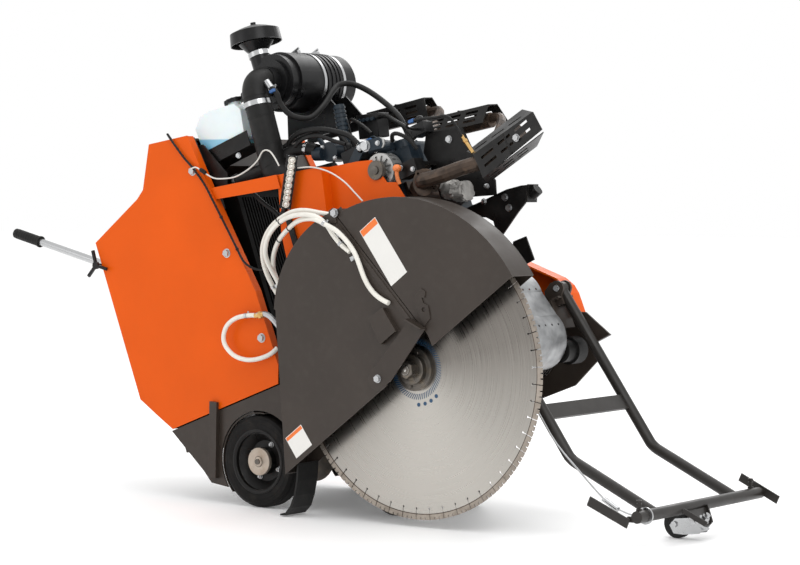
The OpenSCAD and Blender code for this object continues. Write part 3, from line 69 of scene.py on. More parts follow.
def make_studio():
    bm = bmesh.new()
    bmesh.ops.create_grid(bm, x_segments=2, y_segments=2, size=40)
    me = bpy.data.meshes.new("floor")
    bm.to_mesh(me)
    floor = bpy.data.objects.new("floor", me)
    bpy.context.scene.collection.objects.link(floor)
    m, nt, bsdf = new_mat("floor")
    noise = tex(nt, "ShaderNodeTexNoise", 3.0, 4)
    link(nt, ramp(nt, noise, [(0.3, (0.92, 0.92, 0.92)), (0.7, (0.95, 0.95, 0.95))]), bsdf, "Base Color")
    bsdf.inputs["Roughness"].default_value = 0.5
    bsdf.inputs["Emission Color"].default_value = (1, 1, 1, 1)
    bsdf.inputs["Emission Strength"].default_value = 0.1
    me.materials.append(m)
    world = bpy.data.worlds.new("studio")
    bpy.context.scene.world = world
    world.use_nodes = True
    bg = world.node_tree.nodes["Background"]
    bg.inputs[0].default_value = (1.0, 1.0, 1.0, 1)
    bg.inputs[1].default_value = 1.0
    bpy.context.scene.view_settings.view_transform = "Standard"
    lights = [
        ("key", (3.6, -2.4, 4.2), (0.2, 0.0, 0.5), 3.0, 70),
        ("side", (-3.2, -4.6, 2.6), (-0.3, 0.0, 0.7), 2.4, 18),
        ("back", (-1.0, 4.6, 3.8), (0.0, 0.0, 0.8), 3.0, 60),
        ("top", (0.2, 0.3, 5.2), (0.0, 0.0, 0.0), 3.6, 60),
    ]
    for name, place, aim, size, power in lights:
        lamp = bpy.data.lights.new(name, "AREA")
        lamp.size, lamp.energy = size, power
        ob = bpy.data.objects.new(name, lamp)
        ob.location = place
        ob.rotation_euler = (Vector(aim) - Vector(place)).to_track_quat("-Z", "Y").to_euler()
        bpy.context.scene.collection.objects.link(ob)


# ------------------------------------------------------------------ materials
def new_mat(name):
    m = bpy.data.materials.new(name)
    m.use_nodes = True
    nt = m.node_tree
    nt.nodes.clear()
    out = nt.nodes.new("ShaderNodeOutputMaterial")
    bsdf = nt.nodes.new("ShaderNodeBsdfPrincipled")
    nt.links.new(bsdf.outputs[0], out.inputs[0])
    return m, nt, bsdf


def link(nt, source, node, socket):
    nt.links.new(source, node.inputs[socket])


def coords(nt):
    for n in nt.nodes:
        if n.bl_idname == "ShaderNodeTexCoord":
            return n.outputs["Object"]
    return nt.nodes.new("ShaderNodeTexCoord").outputs["Object"]


def tex(nt, kind, scale, detail=4.0, stretch=None, output=0):
    t = nt.nodes.new(kind)
    t.inputs["Scale"].default_value = scale
    if "Detail" in t.inputs:
        t.inputs["Detail"].default_value = detail
    source = coords(nt)
    if stretch:
        mp = nt.nodes.new("ShaderNodeMapping")
        mp.inputs["Scale"].default_value = stretch
        nt.links.new(source, mp.inputs["Vector"])
        source = mp.outputs[0]
    nt.links.new(source, t.inputs["Vector"])
    return t.outputs[output]


def ramp(nt, source, stops):
    r = nt.nodes.new("ShaderNodeValToRGB")
    el = r.color_ramp.elements
    while len(el) < len(stops):
        el.new(0.5)
    for e, (at, colour) in zip(el, stops):
        e.position, e.color = at, (*colour, 1)
    nt.links.new(source, r.inputs[0])
    return r.outputs[0]


def level(nt, source, low, high, to_low, to_high):
    n = nt.nodes.new("ShaderNodeMapRange")
    for socket, v in zip(("From Min", "From Max", "To Min", "To Max"), (low, high, to_low, to_high)):
        n.inputs[socket].default_value = v
    nt.links.new(source, n.inputs[0])
    return n.outputs[0]


def maths(nt, op, a, b=None):
    n = nt.nodes.new("ShaderNodeMath")
    n.operation = op
    for i, v in enumerate((a, b)):
        if v is None:
            continue
        if isinstance(v, (int, float)):
            n.inputs[i].default_value = v
        else:
            nt.links.new(v, n.inputs[i])
    return n.outputs[0]


def mix(nt, factor, a, b):
    n = nt.nodes.new("ShaderNodeMix")
    n.data_type = "RGBA"
    nt.links.new(factor, n.inputs[0])
    for socket, v in ((6, a), (7, b)):
        if isinstance(v, tuple):
            n.inputs[socket].default_value = (*v, 1)
        else:
            nt.links.new(v, n.inputs[socket])
    return n.outputs[2]


def edge_mask(nt, radius):
    """1 along convex and concave edges, 0 on open faces."""
    bevel = nt.nodes.new("ShaderNodeBevel")
    bevel.samples = 4
    bevel.inputs["Radius"].default_value = radius
    geo = nt.nodes.new("ShaderNodeNewGeometry")
    dot = nt.nodes.new("ShaderNodeVectorMath")
    dot.operation = "DOT_PRODUCT"
    nt.links.new(bevel.outputs[0], dot.inputs[0])
    nt.links.new(geo.outputs["Normal"], dot.inputs[1])
    return level(nt, dot.outputs["Value"], 0.985, 0.86, 0.0, 1.0)


def bump(nt, bsdf, height, strength, distance=0.001):
    b = nt.nodes.new("ShaderNodeBump")
    b.inputs["Strength"].default_value = strength
    b.inputs["Distance"].default_value = distance
    nt.links.new(height, b.inputs["Height"])
    nt.links.new(b.outputs[0], bsdf.inputs["Normal"])


def surface(name, colour, tone=0.12, rough=0.45, vary=0.08, metallic=0.0, grain=320, depth=0.12,
            wear_and_highlight_colour=None, wear_and_highlight_radius=0.0022, wear_and_highlight_amount=0.55, dust=None, dust_amount=0.25, coat=0.0, large=5.0,
            specular=0.5):
    """Painted, plastic, rubber or metal surface: tone variation, edges lightened partly as wear and partly
    as a painted highlight, dust and a fine grain.
    """
    m, nt, bsdf = new_mat(name)
    dark = tuple(c * (1 - tone) for c in colour)
    light = tuple(min(1, c * (1 + tone)) for c in colour)
    patches = tex(nt, "ShaderNodeTexNoise", large, 7)
    col = ramp(nt, patches, [(0.32, dark), (0.68, light)])
    if dust:
        specks = tex(nt, "ShaderNodeTexNoise", 38.0, 8)
        mask = maths(nt, "MULTIPLY", level(nt, specks, 0.5, 0.72, 0.0, 1.0), dust_amount)
        col = mix(nt, mask, col, dust)
    # edges lightened towards a paler colour: partly real wear, partly a painted highlight along every edge
    # the bevel finds
    if wear_and_highlight_colour:
        chips = tex(nt, "ShaderNodeTexNoise", 90.0, 6)
        mask = maths(nt, "MULTIPLY", edge_mask(nt, wear_and_highlight_radius), level(nt, chips, 0.42, 0.62, 0.0, wear_and_highlight_amount))
        col = mix(nt, mask, col, wear_and_highlight_colour)
    link(nt, col, bsdf, "Base Color")
    smudge = tex(nt, "ShaderNodeTexNoise", 14.0, 5)
    link(nt, level(nt, smudge, 0.3, 0.7, rough - vary, rough + vary), bsdf, "Roughness")
    bsdf.inputs["Metallic"].default_value = metallic
    bsdf.inputs["Specular IOR Level"].default_value = specular
    if coat:
        bsdf.inputs["Coat Weight"].default_value = coat
        bsdf.inputs["Coat Roughness"].default_value = 0.12
    bump(nt, bsdf, tex(nt, "ShaderNodeTexNoise", grain, 3), depth, 0.0006)
    return m


def brushed(name, colour, centre, rough=0.28, tone=0.1, rings=260, painted_sheen_sector=None):
    """Ground steel, its marks round a centre in XZ; the optional (colour, angle) pair paints a lighter
    sector there, a painted sheen highlight.
    """
    m, nt, bsdf = new_mat(name)
    mp = nt.nodes.new("ShaderNodeMapping")
    mp.inputs["Location"].default_value = (-centre[0], 0, -centre[2])
    nt.links.new(coords(nt), mp.inputs["Vector"])
    xyz = nt.nodes.new("ShaderNodeSeparateXYZ")
    nt.links.new(mp.outputs[0], xyz.inputs[0])
    flat = nt.nodes.new("ShaderNodeCombineXYZ")
    nt.links.new(xyz.outputs[0], flat.inputs[0])
    nt.links.new(xyz.outputs[2], flat.inputs[2])
    dist = nt.nodes.new("ShaderNodeVectorMath")
    dist.operation = "LENGTH"
    nt.links.new(flat.outputs[0], dist.inputs[0])
    angle = maths(nt, "ARCTAN2", xyz.outputs[2], xyz.outputs[0])
    polar = nt.nodes.new("ShaderNodeCombineXYZ")
    nt.links.new(maths(nt, "MULTIPLY", dist.outputs["Value"], rings), polar.inputs[0])
    nt.links.new(maths(nt, "MULTIPLY", angle, 1.2), polar.inputs[1])
    marks = nt.nodes.new("ShaderNodeTexNoise")
    marks.inputs["Scale"].default_value = 1.0
    marks.inputs["Detail"].default_value = 6
    nt.links.new(polar.outputs[0], marks.inputs["Vector"])
    cloud = tex(nt, "ShaderNodeTexNoise", 4.0, 5)
    shade = maths(nt, "ADD", maths(nt, "MULTIPLY", marks.outputs[0], 0.55),
                  maths(nt, "MULTIPLY", cloud, 0.45))
    dark = tuple(c * (1 - tone) for c in colour)
    light = tuple(min(1, c * (1 + tone)) for c in colour)
    col = ramp(nt, shade, [(0.35, dark), (0.65, light)])
    # painted highlight: a lighter sector at one angle round the hub, standing in for the sheen of light on
    # the steel
    if painted_sheen_sector:
        sheen_lobe = maths(nt, "COSINE", maths(nt, "SUBTRACT", angle, painted_sheen_sector[1]))
        sheen_lobe = level(nt, maths(nt, "ADD", sheen_lobe, maths(nt, "MULTIPLY", marks.outputs[0], 0.3)), 0.1,
                     1.15, 0.0, 1.0)
        col = mix(nt, sheen_lobe, col, painted_sheen_sector[0])
    link(nt, col, bsdf, "Base Color")
    link(nt, level(nt, marks.outputs[0], 0.3, 0.7, rough - 0.07, rough + 0.1), bsdf, "Roughness")
    bsdf.inputs["Metallic"].default_value = 1.0
    bump(nt, bsdf, marks.outputs[0], 0.12, 0.0003)
    return m


STEEL = (0.56, 0.54, 0.51)
COOLANT_LEVEL = 1.19
LIGHT_TURN = 42
M = {}


def make_materials():
    M["chassis_paint"] = surface("chassis_paint", (0.036, 0.0275, 0.022), 0.08, 0.42, 0.06, grain=420,
                                 depth=0.16, wear_and_highlight_colour=(0.14, 0.12, 0.1), dust=(0.08, 0.07, 0.06),
                                 dust_amount=0.1, specular=0.3)
    M["orange_paint"] = surface("orange_paint", (0.68, 0.09, 0.002), 0.04, 0.38, 0.05, grain=300,
                                depth=0.08, wear_and_highlight_colour=(0.74, 0.16, 0.04), wear_and_highlight_radius=0.003,
                                dust=(0.56, 0.1, 0.01), dust_amount=0.06, coat=0.03, specular=0.12)
    M["black_paint"] = surface("black_paint", (0.0065, 0.006, 0.0058), 0.2, 0.34, 0.1, grain=260,
                               depth=0.2, wear_and_highlight_colour=(0.09, 0.08, 0.07), dust=(0.03, 0.027, 0.024),
                               dust_amount=0.25, specular=0.22)
    M["black_plastic"] = surface("black_plastic", (0.006, 0.006, 0.0065), 0.2, 0.32, 0.08, grain=700,
                                 depth=0.22, wear_and_highlight_colour=(0.05, 0.05, 0.05), dust=(0.025, 0.024, 0.023),
                                 dust_amount=0.2, specular=0.25)
    M["red_plastic"] = surface("red_plastic", (0.5, 0.02, 0.012), 0.08, 0.3, 0.05, grain=500, depth=0.05)
    M["engine_paint"] = surface("engine_paint", (0.0105, 0.019, 0.028), 0.25, 0.4, 0.12, grain=150,
                                depth=0.4, wear_and_highlight_colour=(0.08, 0.1, 0.12), dust=(0.04, 0.046, 0.052),
                                dust_amount=0.35, large=14, specular=0.3)
    M["exhaust_steel"] = surface("exhaust_steel", (0.055, 0.038, 0.028), 0.5, 0.5, 0.15, metallic=0.6,
                                 grain=120, depth=0.45, dust=(0.14, 0.09, 0.06), dust_amount=0.6,
                                 large=22)
    M["bare_steel"] = surface("bare_steel", STEEL, 0.1, 0.3, 0.1, metallic=1.0, grain=500, depth=0.1)
    M["cast_aluminium"] = surface("cast_aluminium", (0.4, 0.4, 0.39), 0.12, 0.42, 0.1, metallic=0.9,
                                  grain=240, depth=0.35)
    M["zinc_plate"] = surface("zinc_plate", (0.48, 0.485, 0.49), 0.1, 0.27, 0.09, metallic=1.0,
                              grain=420, depth=0.1)
    M["brass"] = surface("brass", (0.66, 0.42, 0.16), 0.1, 0.26, 0.08, metallic=1.0, grain=420, depth=0.1)
    M["black_rubber"] = surface("black_rubber", (0.0068, 0.0066, 0.0064), 0.2, 0.5, 0.1, grain=600,
                                depth=0.25, dust=(0.025, 0.023, 0.021), dust_amount=0.3, specular=0.25)
    M["tyre_rubber"] = surface("tyre_rubber", (0.0045, 0.004, 0.0038), 0.2, 0.55, 0.1, grain=500,
                               depth=0.3, wear_and_highlight_colour=(0.04, 0.036, 0.03), dust=(0.03, 0.025, 0.02),
                               dust_amount=0.3, specular=0.15)
    M["white_hose"] = surface("white_hose", (0.74, 0.72, 0.66), 0.05, 0.36, 0.06, grain=260, depth=0.1,
                              dust=(0.5, 0.46, 0.4), dust_amount=0.25)
    M["wire_plastic"] = surface("wire_plastic", (0.62, 0.6, 0.56), 0.08, 0.4, 0.06, grain=500, depth=0.1)
    M["lamp_housing"] = surface("lamp_housing", (0.008, 0.008, 0.0085), 0.15, 0.4, 0.08, grain=400,
                                depth=0.2, wear_and_highlight_colour=(0.08, 0.08, 0.08), specular=0.25)
    M["diamond"] = surface("diamond", (0.33, 0.29, 0.25), 0.25, 0.5, 0.12, metallic=0.75, grain=900,
                           depth=0.6, dust=(0.16, 0.13, 0.1), dust_amount=0.5)
    hub = GUARD @ Vector((0, 0, 0))
    # the lighter lower sector of the blade is a painted sheen highlight
    M["blade"] = brushed("blade_steel", (0.2, 0.185, 0.168), hub, 0.3, 0.16,
                         painted_sheen_sector=((0.47, 0.45, 0.415), -1.35))
    M["band"] = surface("galvanised", (0.32, 0.325, 0.33), 0.22, 0.38, 0.1, metallic=0.9, grain=180,
                        depth=0.2, large=30)
    M["plate"] = surface("label_plate", (0.72, 0.71, 0.68), 0.04, 0.4, 0.05, grain=300, depth=0.06)
    M["dark_steel"] = surface("dark_steel", (0.12, 0.108, 0.095), 0.25, 0.34, 0.1, metallic=0.85,
                              grain=300, depth=0.15, dust=(0.2, 0.16, 0.11), dust_amount=0.5, large=20)
    M["reflector"] = surface("reflector", (0.62, 0.6, 0.54), 0.1, 0.2, 0.06, metallic=0.7, grain=300,
                             depth=0.05)
    M["frame_black"] = surface("frame_black", (0.017, 0.0145, 0.0125), 0.1, 0.36, 0.08, grain=420,
                               depth=0.16, wear_and_highlight_colour=(0.1, 0.09, 0.08), dust=(0.05, 0.044, 0.038),
                               dust_amount=0.15, specular=0.35)
    # painted shade: a darker, duller copy of black for the radiator and fan, which sit in shade inside the
    # machine
    M["painted_shade_black"] = surface("painted_shade_black", (0.0022, 0.0021, 0.002), 0.25, 0.5, 0.1, grain=260,
                               depth=0.2, dust=(0.008, 0.007, 0.006), dust_amount=0.3, specular=0.08)
    M["hub_steel"] = surface("hub_steel", (0.42, 0.36, 0.30), 0.12, 0.4, 0.1, metallic=0.6, grain=300,
                             depth=0.15, dust=(0.3, 0.22, 0.15), dust_amount=0.4, large=18)
    M["blue_ink"] = surface("blue_ink", (0.012, 0.06, 0.13), 0.06, 0.45, 0.05, grain=700, depth=0.05)
    M["orange_ink"] = surface("orange_ink", (0.76, 0.16, 0.02), 0.04, 0.4, 0.05, grain=500, depth=0.04)
    M["heat_wrap"] = surface("heat_wrap", (0.3, 0.29, 0.275), 0.25, 0.5, 0.15, metallic=0.6, grain=60,
                             depth=0.9, large=40)
    M["blue"] = surface("blue_plastic", (0.02, 0.09, 0.26), 0.15, 0.36, 0.08, grain=500, depth=0.1)
    M["orange_rubber"] = surface("orange_rubber", (0.75, 0.2, 0.05), 0.1, 0.4, 0.06, grain=500, depth=0.1)
    m, nt, bsdf = new_mat("bottle_plastic")
    place = nt.nodes.new("ShaderNodeSeparateXYZ")
    nt.links.new(coords(nt), place.inputs[0])
    low = level(nt, place.outputs[2], COOLANT_LEVEL - 0.002, COOLANT_LEVEL + 0.002, 1.0, 0.0)
    milk = ramp(nt, tex(nt, "ShaderNodeTexNoise", 10, 4),
                [(0.3, (0.74, 0.78, 0.79)), (0.7, (0.82, 0.85, 0.86))])
    blue = ramp(nt, tex(nt, "ShaderNodeTexNoise", 9, 4),
                [(0.3, (0.22, 0.5, 0.68)), (0.7, (0.3, 0.58, 0.74))])
    link(nt, mix(nt, low, milk, blue), bsdf, "Base Color")
    bsdf.inputs["Roughness"].default_value = 0.28
    bsdf.inputs["Subsurface Weight"].default_value = 0.25
    bsdf.inputs["Subsurface Scale"].default_value = 0.02
    bump(nt, bsdf, tex(nt, "ShaderNodeTexNoise", 120, 3), 0.12)
    M["bottle_plastic"] = m
    m, nt, bsdf = new_mat("lens")
    cells = tex(nt, "ShaderNodeTexVoronoi", 190, 0)
    link(nt, ramp(nt, cells, [(0.0, (0.95, 0.93, 0.88)), (0.6, (0.75, 0.72, 0.66))]), bsdf, "Base Color")
    bsdf.inputs["Roughness"].default_value = 0.12
    bsdf.inputs["Coat Weight"].default_value = 0.8
    bump(nt, bsdf, cells, 0.5, 0.001)
    M["lamp_lens"] = m


NODE_MATERIAL = {
    "radiator": "painted_shade_black", "pointer_frame": "frame_black", "cooling_fan": "painted_shade_black",
    "blade_flanges": "dark_steel", "arbor_nut": "dark_steel", "rear_axle": "dark_steel",
    "blade_core": "blade", "blade_segments": "diamond", "belt_guard": "band", "lift_rod": "zinc_plate",
    "diamond_segments": "diamond",
}


def dress_nodes():
    slots = {s["node"]: s["material_slot"] for s in frame["record"]["subparts"]}
    for node, ob in frame["nodes"].items():
        key = NODE_MATERIAL.get(node, slots[node])
        for s in ob.material_slots:
            s.material = M[key]


# ------------------------------------------------------------------ mesh helpers
def piece(name, bm, material, body, smooth=40.0, bevel=0.0, replace=()):
    me = bpy.data.meshes.new(name)
    bmesh.ops.recalc_face_normals(bm, faces=bm.faces)
    bm.to_mesh(me)
    bm.free()
    ob = bpy.data.objects.new(name, me)
    bpy.context.scene.collection.objects.link(ob)
    for p in me.polygons:
        p.use_smooth = True
    me.set_sharp_from_angle(angle=math.radians(smooth))
    me.materials.append(M[material])
    if bevel:
        mod = ob.modifiers.new("bevel", "BEVEL")
        mod.width, mod.segments, mod.limit_method = bevel, 2, "ANGLE"
    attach(ob, body)
    if replace:
        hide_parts(*replace)
    return ob


def add_lathe(bm, frame_m, profile, seg=24, caps=True):
    """Revolves (radius, height) pairs round the local Z axis; with caps, flat discs close the two ends."""
    rings = []
    for r, h in profile:
        rings.append([bm.verts.new(frame_m @ Vector((r * math.cos(t), r * math.sin(t), h)))
                      for t in (2 * math.pi * k / seg for k in range(seg))])
    for a, b in zip(rings, rings[1:]):
        for k in range(seg):
            bm.faces.new((a[k], a[(k + 1) % seg], b[(k + 1) % seg], b[k]))
    if caps:
        bm.faces.new(list(reversed(rings[0])))
        bm.faces.new(rings[-1])


def add_prism(bm, frame_m, outline, low, high):
    """Extrudes an (x, y) outline along local Z from low to high."""
    a = [bm.verts.new(frame_m @ Vector((x, y, low))) for x, y in outline]
    b = [bm.verts.new(frame_m @ Vector((x, y, high))) for x, y in outline]
    n = len(outline)
    for k in range(n):
        bm.faces.new((a[k], a[(k + 1) % n], b[(k + 1) % n], b[k]))
    bm.faces.new(list(reversed(a)))
    bm.faces.new(b)


def add_box(bm, frame_m, lo, hi):
    add_prism(bm, frame_m, [(lo[0], lo[1]), (hi[0], lo[1]), (hi[0], hi[1]), (lo[0], hi[1])], lo[2], hi[2])


def at(m, x, y, z, axis="-Y"):
    """Frame at a place with local Z along the axis."""
    turn = {"-Y": Matrix.Rotation(math.radians(90), 4, "X"),
            "+Y": Matrix.Rotation(math.radians(-90), 4, "X"),
            "+Z": Matrix.Identity(4),
            "-Z": Matrix.Rotation(math.radians(180), 4, "X"),
            "+X": Matrix.Rotation(math.radians(90), 4, "Y"),
            "-X": Matrix.Rotation(math.radians(-90), 4, "Y")}[axis]
    return m @ Matrix.Translation((x, y, z)) @ turn


def aim(m, p, q):
    """Frame at p with local Z towards q."""
    p, q = Vector(p), Vector(q)
    return m @ Matrix.Translation(p) @ (q - p).to_track_quat("Z", "Y").to_matrix().to_4x4()


def hex_bolt(bm, m, size, washer=True):
    h = 0.0
    if washer:
        add_lathe(bm, m, [(size * 1.05, 0), (size * 1.05, size * 0.16), (size * 0.98, size * 0.2)], 20)
        h = size * 0.18
    hexagon = [(size * 0.9 * math.cos(math.radians(60 * k)), size * 0.9 * math.sin(math.radians(60 * k)))
               for k in range(6)]
    add_prism(bm, m, hexagon, h, h + size * 0.55)
    add_lathe(bm, m, [(size * 0.72, h + size * 0.5), (size * 0.72, h + size * 0.58), (size * 0.5,
            h + size * 0.64)], 18)


def smooth_route(points, steps=6):
    pts = [Vector(p) for p in points]
    out = []
    for i in range(len(pts) - 1):
        a, b, c, d = pts[max(i - 1, 0)], pts[i], pts[i + 1], pts[min(i + 2, len(pts) - 1)]
        for k in range(steps):
            t = k / steps
            out.append(0.5 * ((2 * b) + (c - a) * t + (2 * a - 5 * b + 4 * c - d) * t * t
                              + (3 * b - a - 3 * c + d) * t ** 3))
    out.append(pts[-1])
    return out


def add_tube(bm, m, points, r, sides=16, steps=6, ribs=0.0, capped=True):
    """Sweeps a round section along a smooth route; ribs swells every other ring."""
    route = smooth_route(points, steps) if steps > 1 else [Vector(p) for p in points]
    side = None
    rings = []
    for i, p in enumerate(route):
        t = (route[min(i + 1, len(route) - 1)] - route[max(i - 1, 0)]).normalized()
        if side is None:
            side = t.cross(Vector((0, 1, 0)) if abs(t.y) < 0.8 else Vector((0, 0, 1))).normalized()
        side = (side - side.dot(t) * t).normalized()
        other = t.cross(side)
        rr = r + (ribs if i % 2 else 0.0)
        rings.append([bm.verts.new(m @ (p + rr * (math.cos(a) * side + math.sin(a) * other)))
                      for a in (2 * math.pi * k / sides for k in range(sides))])
    for a, b in zip(rings, rings[1:]):
        for k in range(sides):
            bm.faces.new((a[k], a[(k + 1) % sides], b[(k + 1) % sides], b[k]))
    if capped:
        bm.faces.new(list(reversed(rings[0])))
        bm.faces.new(rings[-1])


def band(bm, m, p, q, r, width, thick=1.4, screw=True):
    """Worm-drive clamp round a hose at p, facing along q."""
    f = aim(m, p, q)
    add_lathe(bm, f, [(r, -width / 2), (r + thick, -width / 2), (r + thick, width / 2), (r, width / 2)], 28)
    if screw:
        add_box(bm, f, (r, -5, -width * 0.6), (r + 7, 9, width * 0.6))
        add_lathe(bm, f @ Matrix.Translation((r + 5, 9, 0)) @ Matrix.Rotation(math.radians(-90), 4, "X"),
                  [(3.4, 0), (3.4, 5)], 6)


# ------------------------------------------------------------------ hoses and leads
ELBOW = [(383, 150, 1169), (383, 129, 1165), (382, 110, 1153), (380, 98, 1134), (378, 94, 1113),
         (374, 97, 1050), (360, 110, 960), (350, 118, 890), (356, 124, 854), (384, 142, 822),
         (440, 176, 800), (520, 204, 790)]
RADIATOR_HOSE = [(166, 140, 905), (230, 140, 900), (300, 140, 898), (365, 140, 900), (415, 148, 912),
                 (470, 158, 900), (505, 160, 880)]
BREATHER = [(440, 100, 1125), (456, 102, 1096), (452, 112, 1060), (460, 140, 1018), (490, 190, 998),
            (514, 250, 1034), (520, 310, 1082), (524, 352, 1106), (556, 376, 1096), (620, 360, 1046),
            (690, 334, 974), (744, 308, 906), (764, 300, 840), (768, 300, 790), (740, 300, 740)]
SMALL_HOSE = [(350, 150, 930), (410, 184, 954), (475, 236, 962), (535, 240, 934), (572, 230, 880),
              (590, 232, 830)]
WATER = [
    [(295, 52, 470), (295, 40, 515), (308, 22, 552), (344, 0, 588), (400, -24, 616), (470, -48, 630),
     (535, -70, 632), (598, -85, 614), (648, -102, 580), (690, -98, 535), (715, -85, 465), (724, -84, 375),
     (738, -84, 330), (760, -84, 298), (785, -84, 275)],
    [(270, 62, 460), (264, 50, 505), (270, 30, 552), (286, 12, 592), (316, -6, 628), (366, -22, 658),
     (430, -38, 672), (500, -52, 672), (560, -62, 656), (612, -56, 628), (634, -46, 615)],
    [(306, 42, 430), (306, 30, 500), (308, 8, 556), (322, -14, 596), (356, -32, 628), (404, -50, 648),
     (458, -66, 656), (514, -84, 652), (566, -90, 640), (612, -88, 618), (640, -83, 582), (656, -82, 538),
     (672, -82, 505), (698, -82, 470)],
    [(205, 58, 318), (178, 45, 306), (134, 36, 306), (90, 30, 318), (48, 28, 346), (24, 28, 386),
     (26, 28, 418), (52, 28, 446), (92, 30, 457), (136, 34, 452), (184, 38, 437)],
]
LIGHT_LEAD = [(78, 40, 980), (96, 44, 978), (112, 50, 958), (140, 60, 925), (176, 62, 908),
              (230, 62, 894), (286, 62, 896), (334, 62, 908), (370, 60, 928), (398, 56, 918),
              (416, 50, 890), (426, 48, 856)]
FRONT_LEAD = [(486, 60, 826), (530, 66, 812), (570, 66, 790), (608, 66, 760), (644, 66, 718),
              (670, 64, 675), (694, 60, 636)]
HARNESS = [(20, 52, 1106), (12, 50, 1128), (22, 50, 1100), (52, 50, 1030), (76, 50, 985),
           (104, 50, 920), (122, 50, 850), (136, 50, 790), (150, 50, 730), (162, 52, 670),
           (176, 52, 620), (204, 62, 586), (250, 68, 566)]


def make_hoses():
    bm = bmesh.new()
    for route in WATER:
        add_tube(bm, CHASSIS, route, 7.6, 20, 6)
    piece("water_supply_hoses", bm, "white_hose", "chassis", 60, replace=("water_hoses",))
    # Moulded rubber hoses of the engine
    bm = bmesh.new()
    add_tube(bm, CHASSIS, ELBOW, 43.5, 40, 6)
    for k in (4, 5, 6, 7):
        band(bm, CHASSIS, ELBOW[k], ELBOW[k + 1], 42.6, 3, 2.4, False)
    piece("intake_elbow", bm, "black_rubber", "chassis", 50, replace=("engine_hoses",))
    bm = bmesh.new()
    add_tube(bm, CHASSIS, RADIATOR_HOSE, 20, 24, 6)
    add_tube(bm, CHASSIS, BREATHER, 9.5, 18, 6)
    add_tube(bm, CHASSIS, SMALL_HOSE, 8, 16, 6)
    piece("coolant_and_breather_hoses", bm, "black_rubber", "chassis", 60)
    # Leads in their thin sheaths
    bm = bmesh.new()
    for route in (LIGHT_LEAD, FRONT_LEAD):
        add_tube(bm, CHASSIS, route, 2.5, 12, 6)
    piece("light_leads", bm, "wire_plastic", "chassis", 60, replace=("wiring",))
    bm = bmesh.new()
    add_tube(bm, CHASSIS, HARNESS, 3.4, 14, 10, ribs=0.7)
    f = aim(CHASSIS, (108, 46, 968), (122, 52, 948))
    add_lathe(bm, f, [(2.6, 0), (5.5, 2), (7, 6), (7, 14), (6.2, 14.6), (7, 15.2), (7, 24), (4, 27)], 20)
    piece("console_harness", bm, "black_rubber", "chassis", 50)
    # Clamps and ties
    bm = bmesh.new()
    band(bm, CHASSIS, RADIATOR_HOSE[5], RADIATOR_HOSE[6], 20.4, 12)
    band(bm, CHASSIS, RADIATOR_HOSE[0], RADIATOR_HOSE[1], 20.4, 12)
    band(bm, CHASSIS, (590, 232, 836), (590, 232, 846), 8.4, 8)
    band(bm, CHASSIS, (442, 100, 1120), (452, 101, 1102), 9.9, 8)
    for route, k in ((WATER[0], 8), (WATER[2], 12), (WATER[1], 1), (WATER[3], 9)):
        band(bm, CHASSIS, route[k], route[k + 1], 8.0, 9)
    piece("hose_clamps", bm, "zinc_plate", "chassis", 40, 0.0002)
    bm = bmesh.new()
    for route, k in ((WATER[0], 4), (WATER[0], 5), (WATER[1], 6), (WATER[2], 6), (HARNESS, 4), (HARNESS, 7),
                     (HARNESS, 9), (BREATHER, 8), (BREATHER, 10)):
        band(bm, CHASSIS, route[k], route[k + 1],
             {id(WATER[0]): 7.9}.get(id(route), 4.6 if route is HARNESS else 8.0), 4, 1.2, False)
    piece("cable_ties", bm, "black_plastic", "chassis", 40)
    # Brass fitting where the feed hose leaves the panel
    bm = bmesh.new()
    f = aim(CHASSIS, (184, 38, 437), (206, 41, 433))
    hexagon = [(12.5 * math.cos(math.radians(60 * k)),
                12.5 * math.sin(math.radians(60 * k))) for k in range(6)]
    add_prism(bm, f, hexagon, 2, 12)
    add_lathe(bm, f, [(8.6, -14), (9.6, -12), (9.6, 2)], 24)
    add_lathe(bm, f, [(10.4, 12), (10.4, 15), (9.8, 15), (9.8, 17), (10.4, 17), (10.4, 20)], 24)
    piece("feed_fitting", bm, "brass", "chassis", 35, 0.0003)


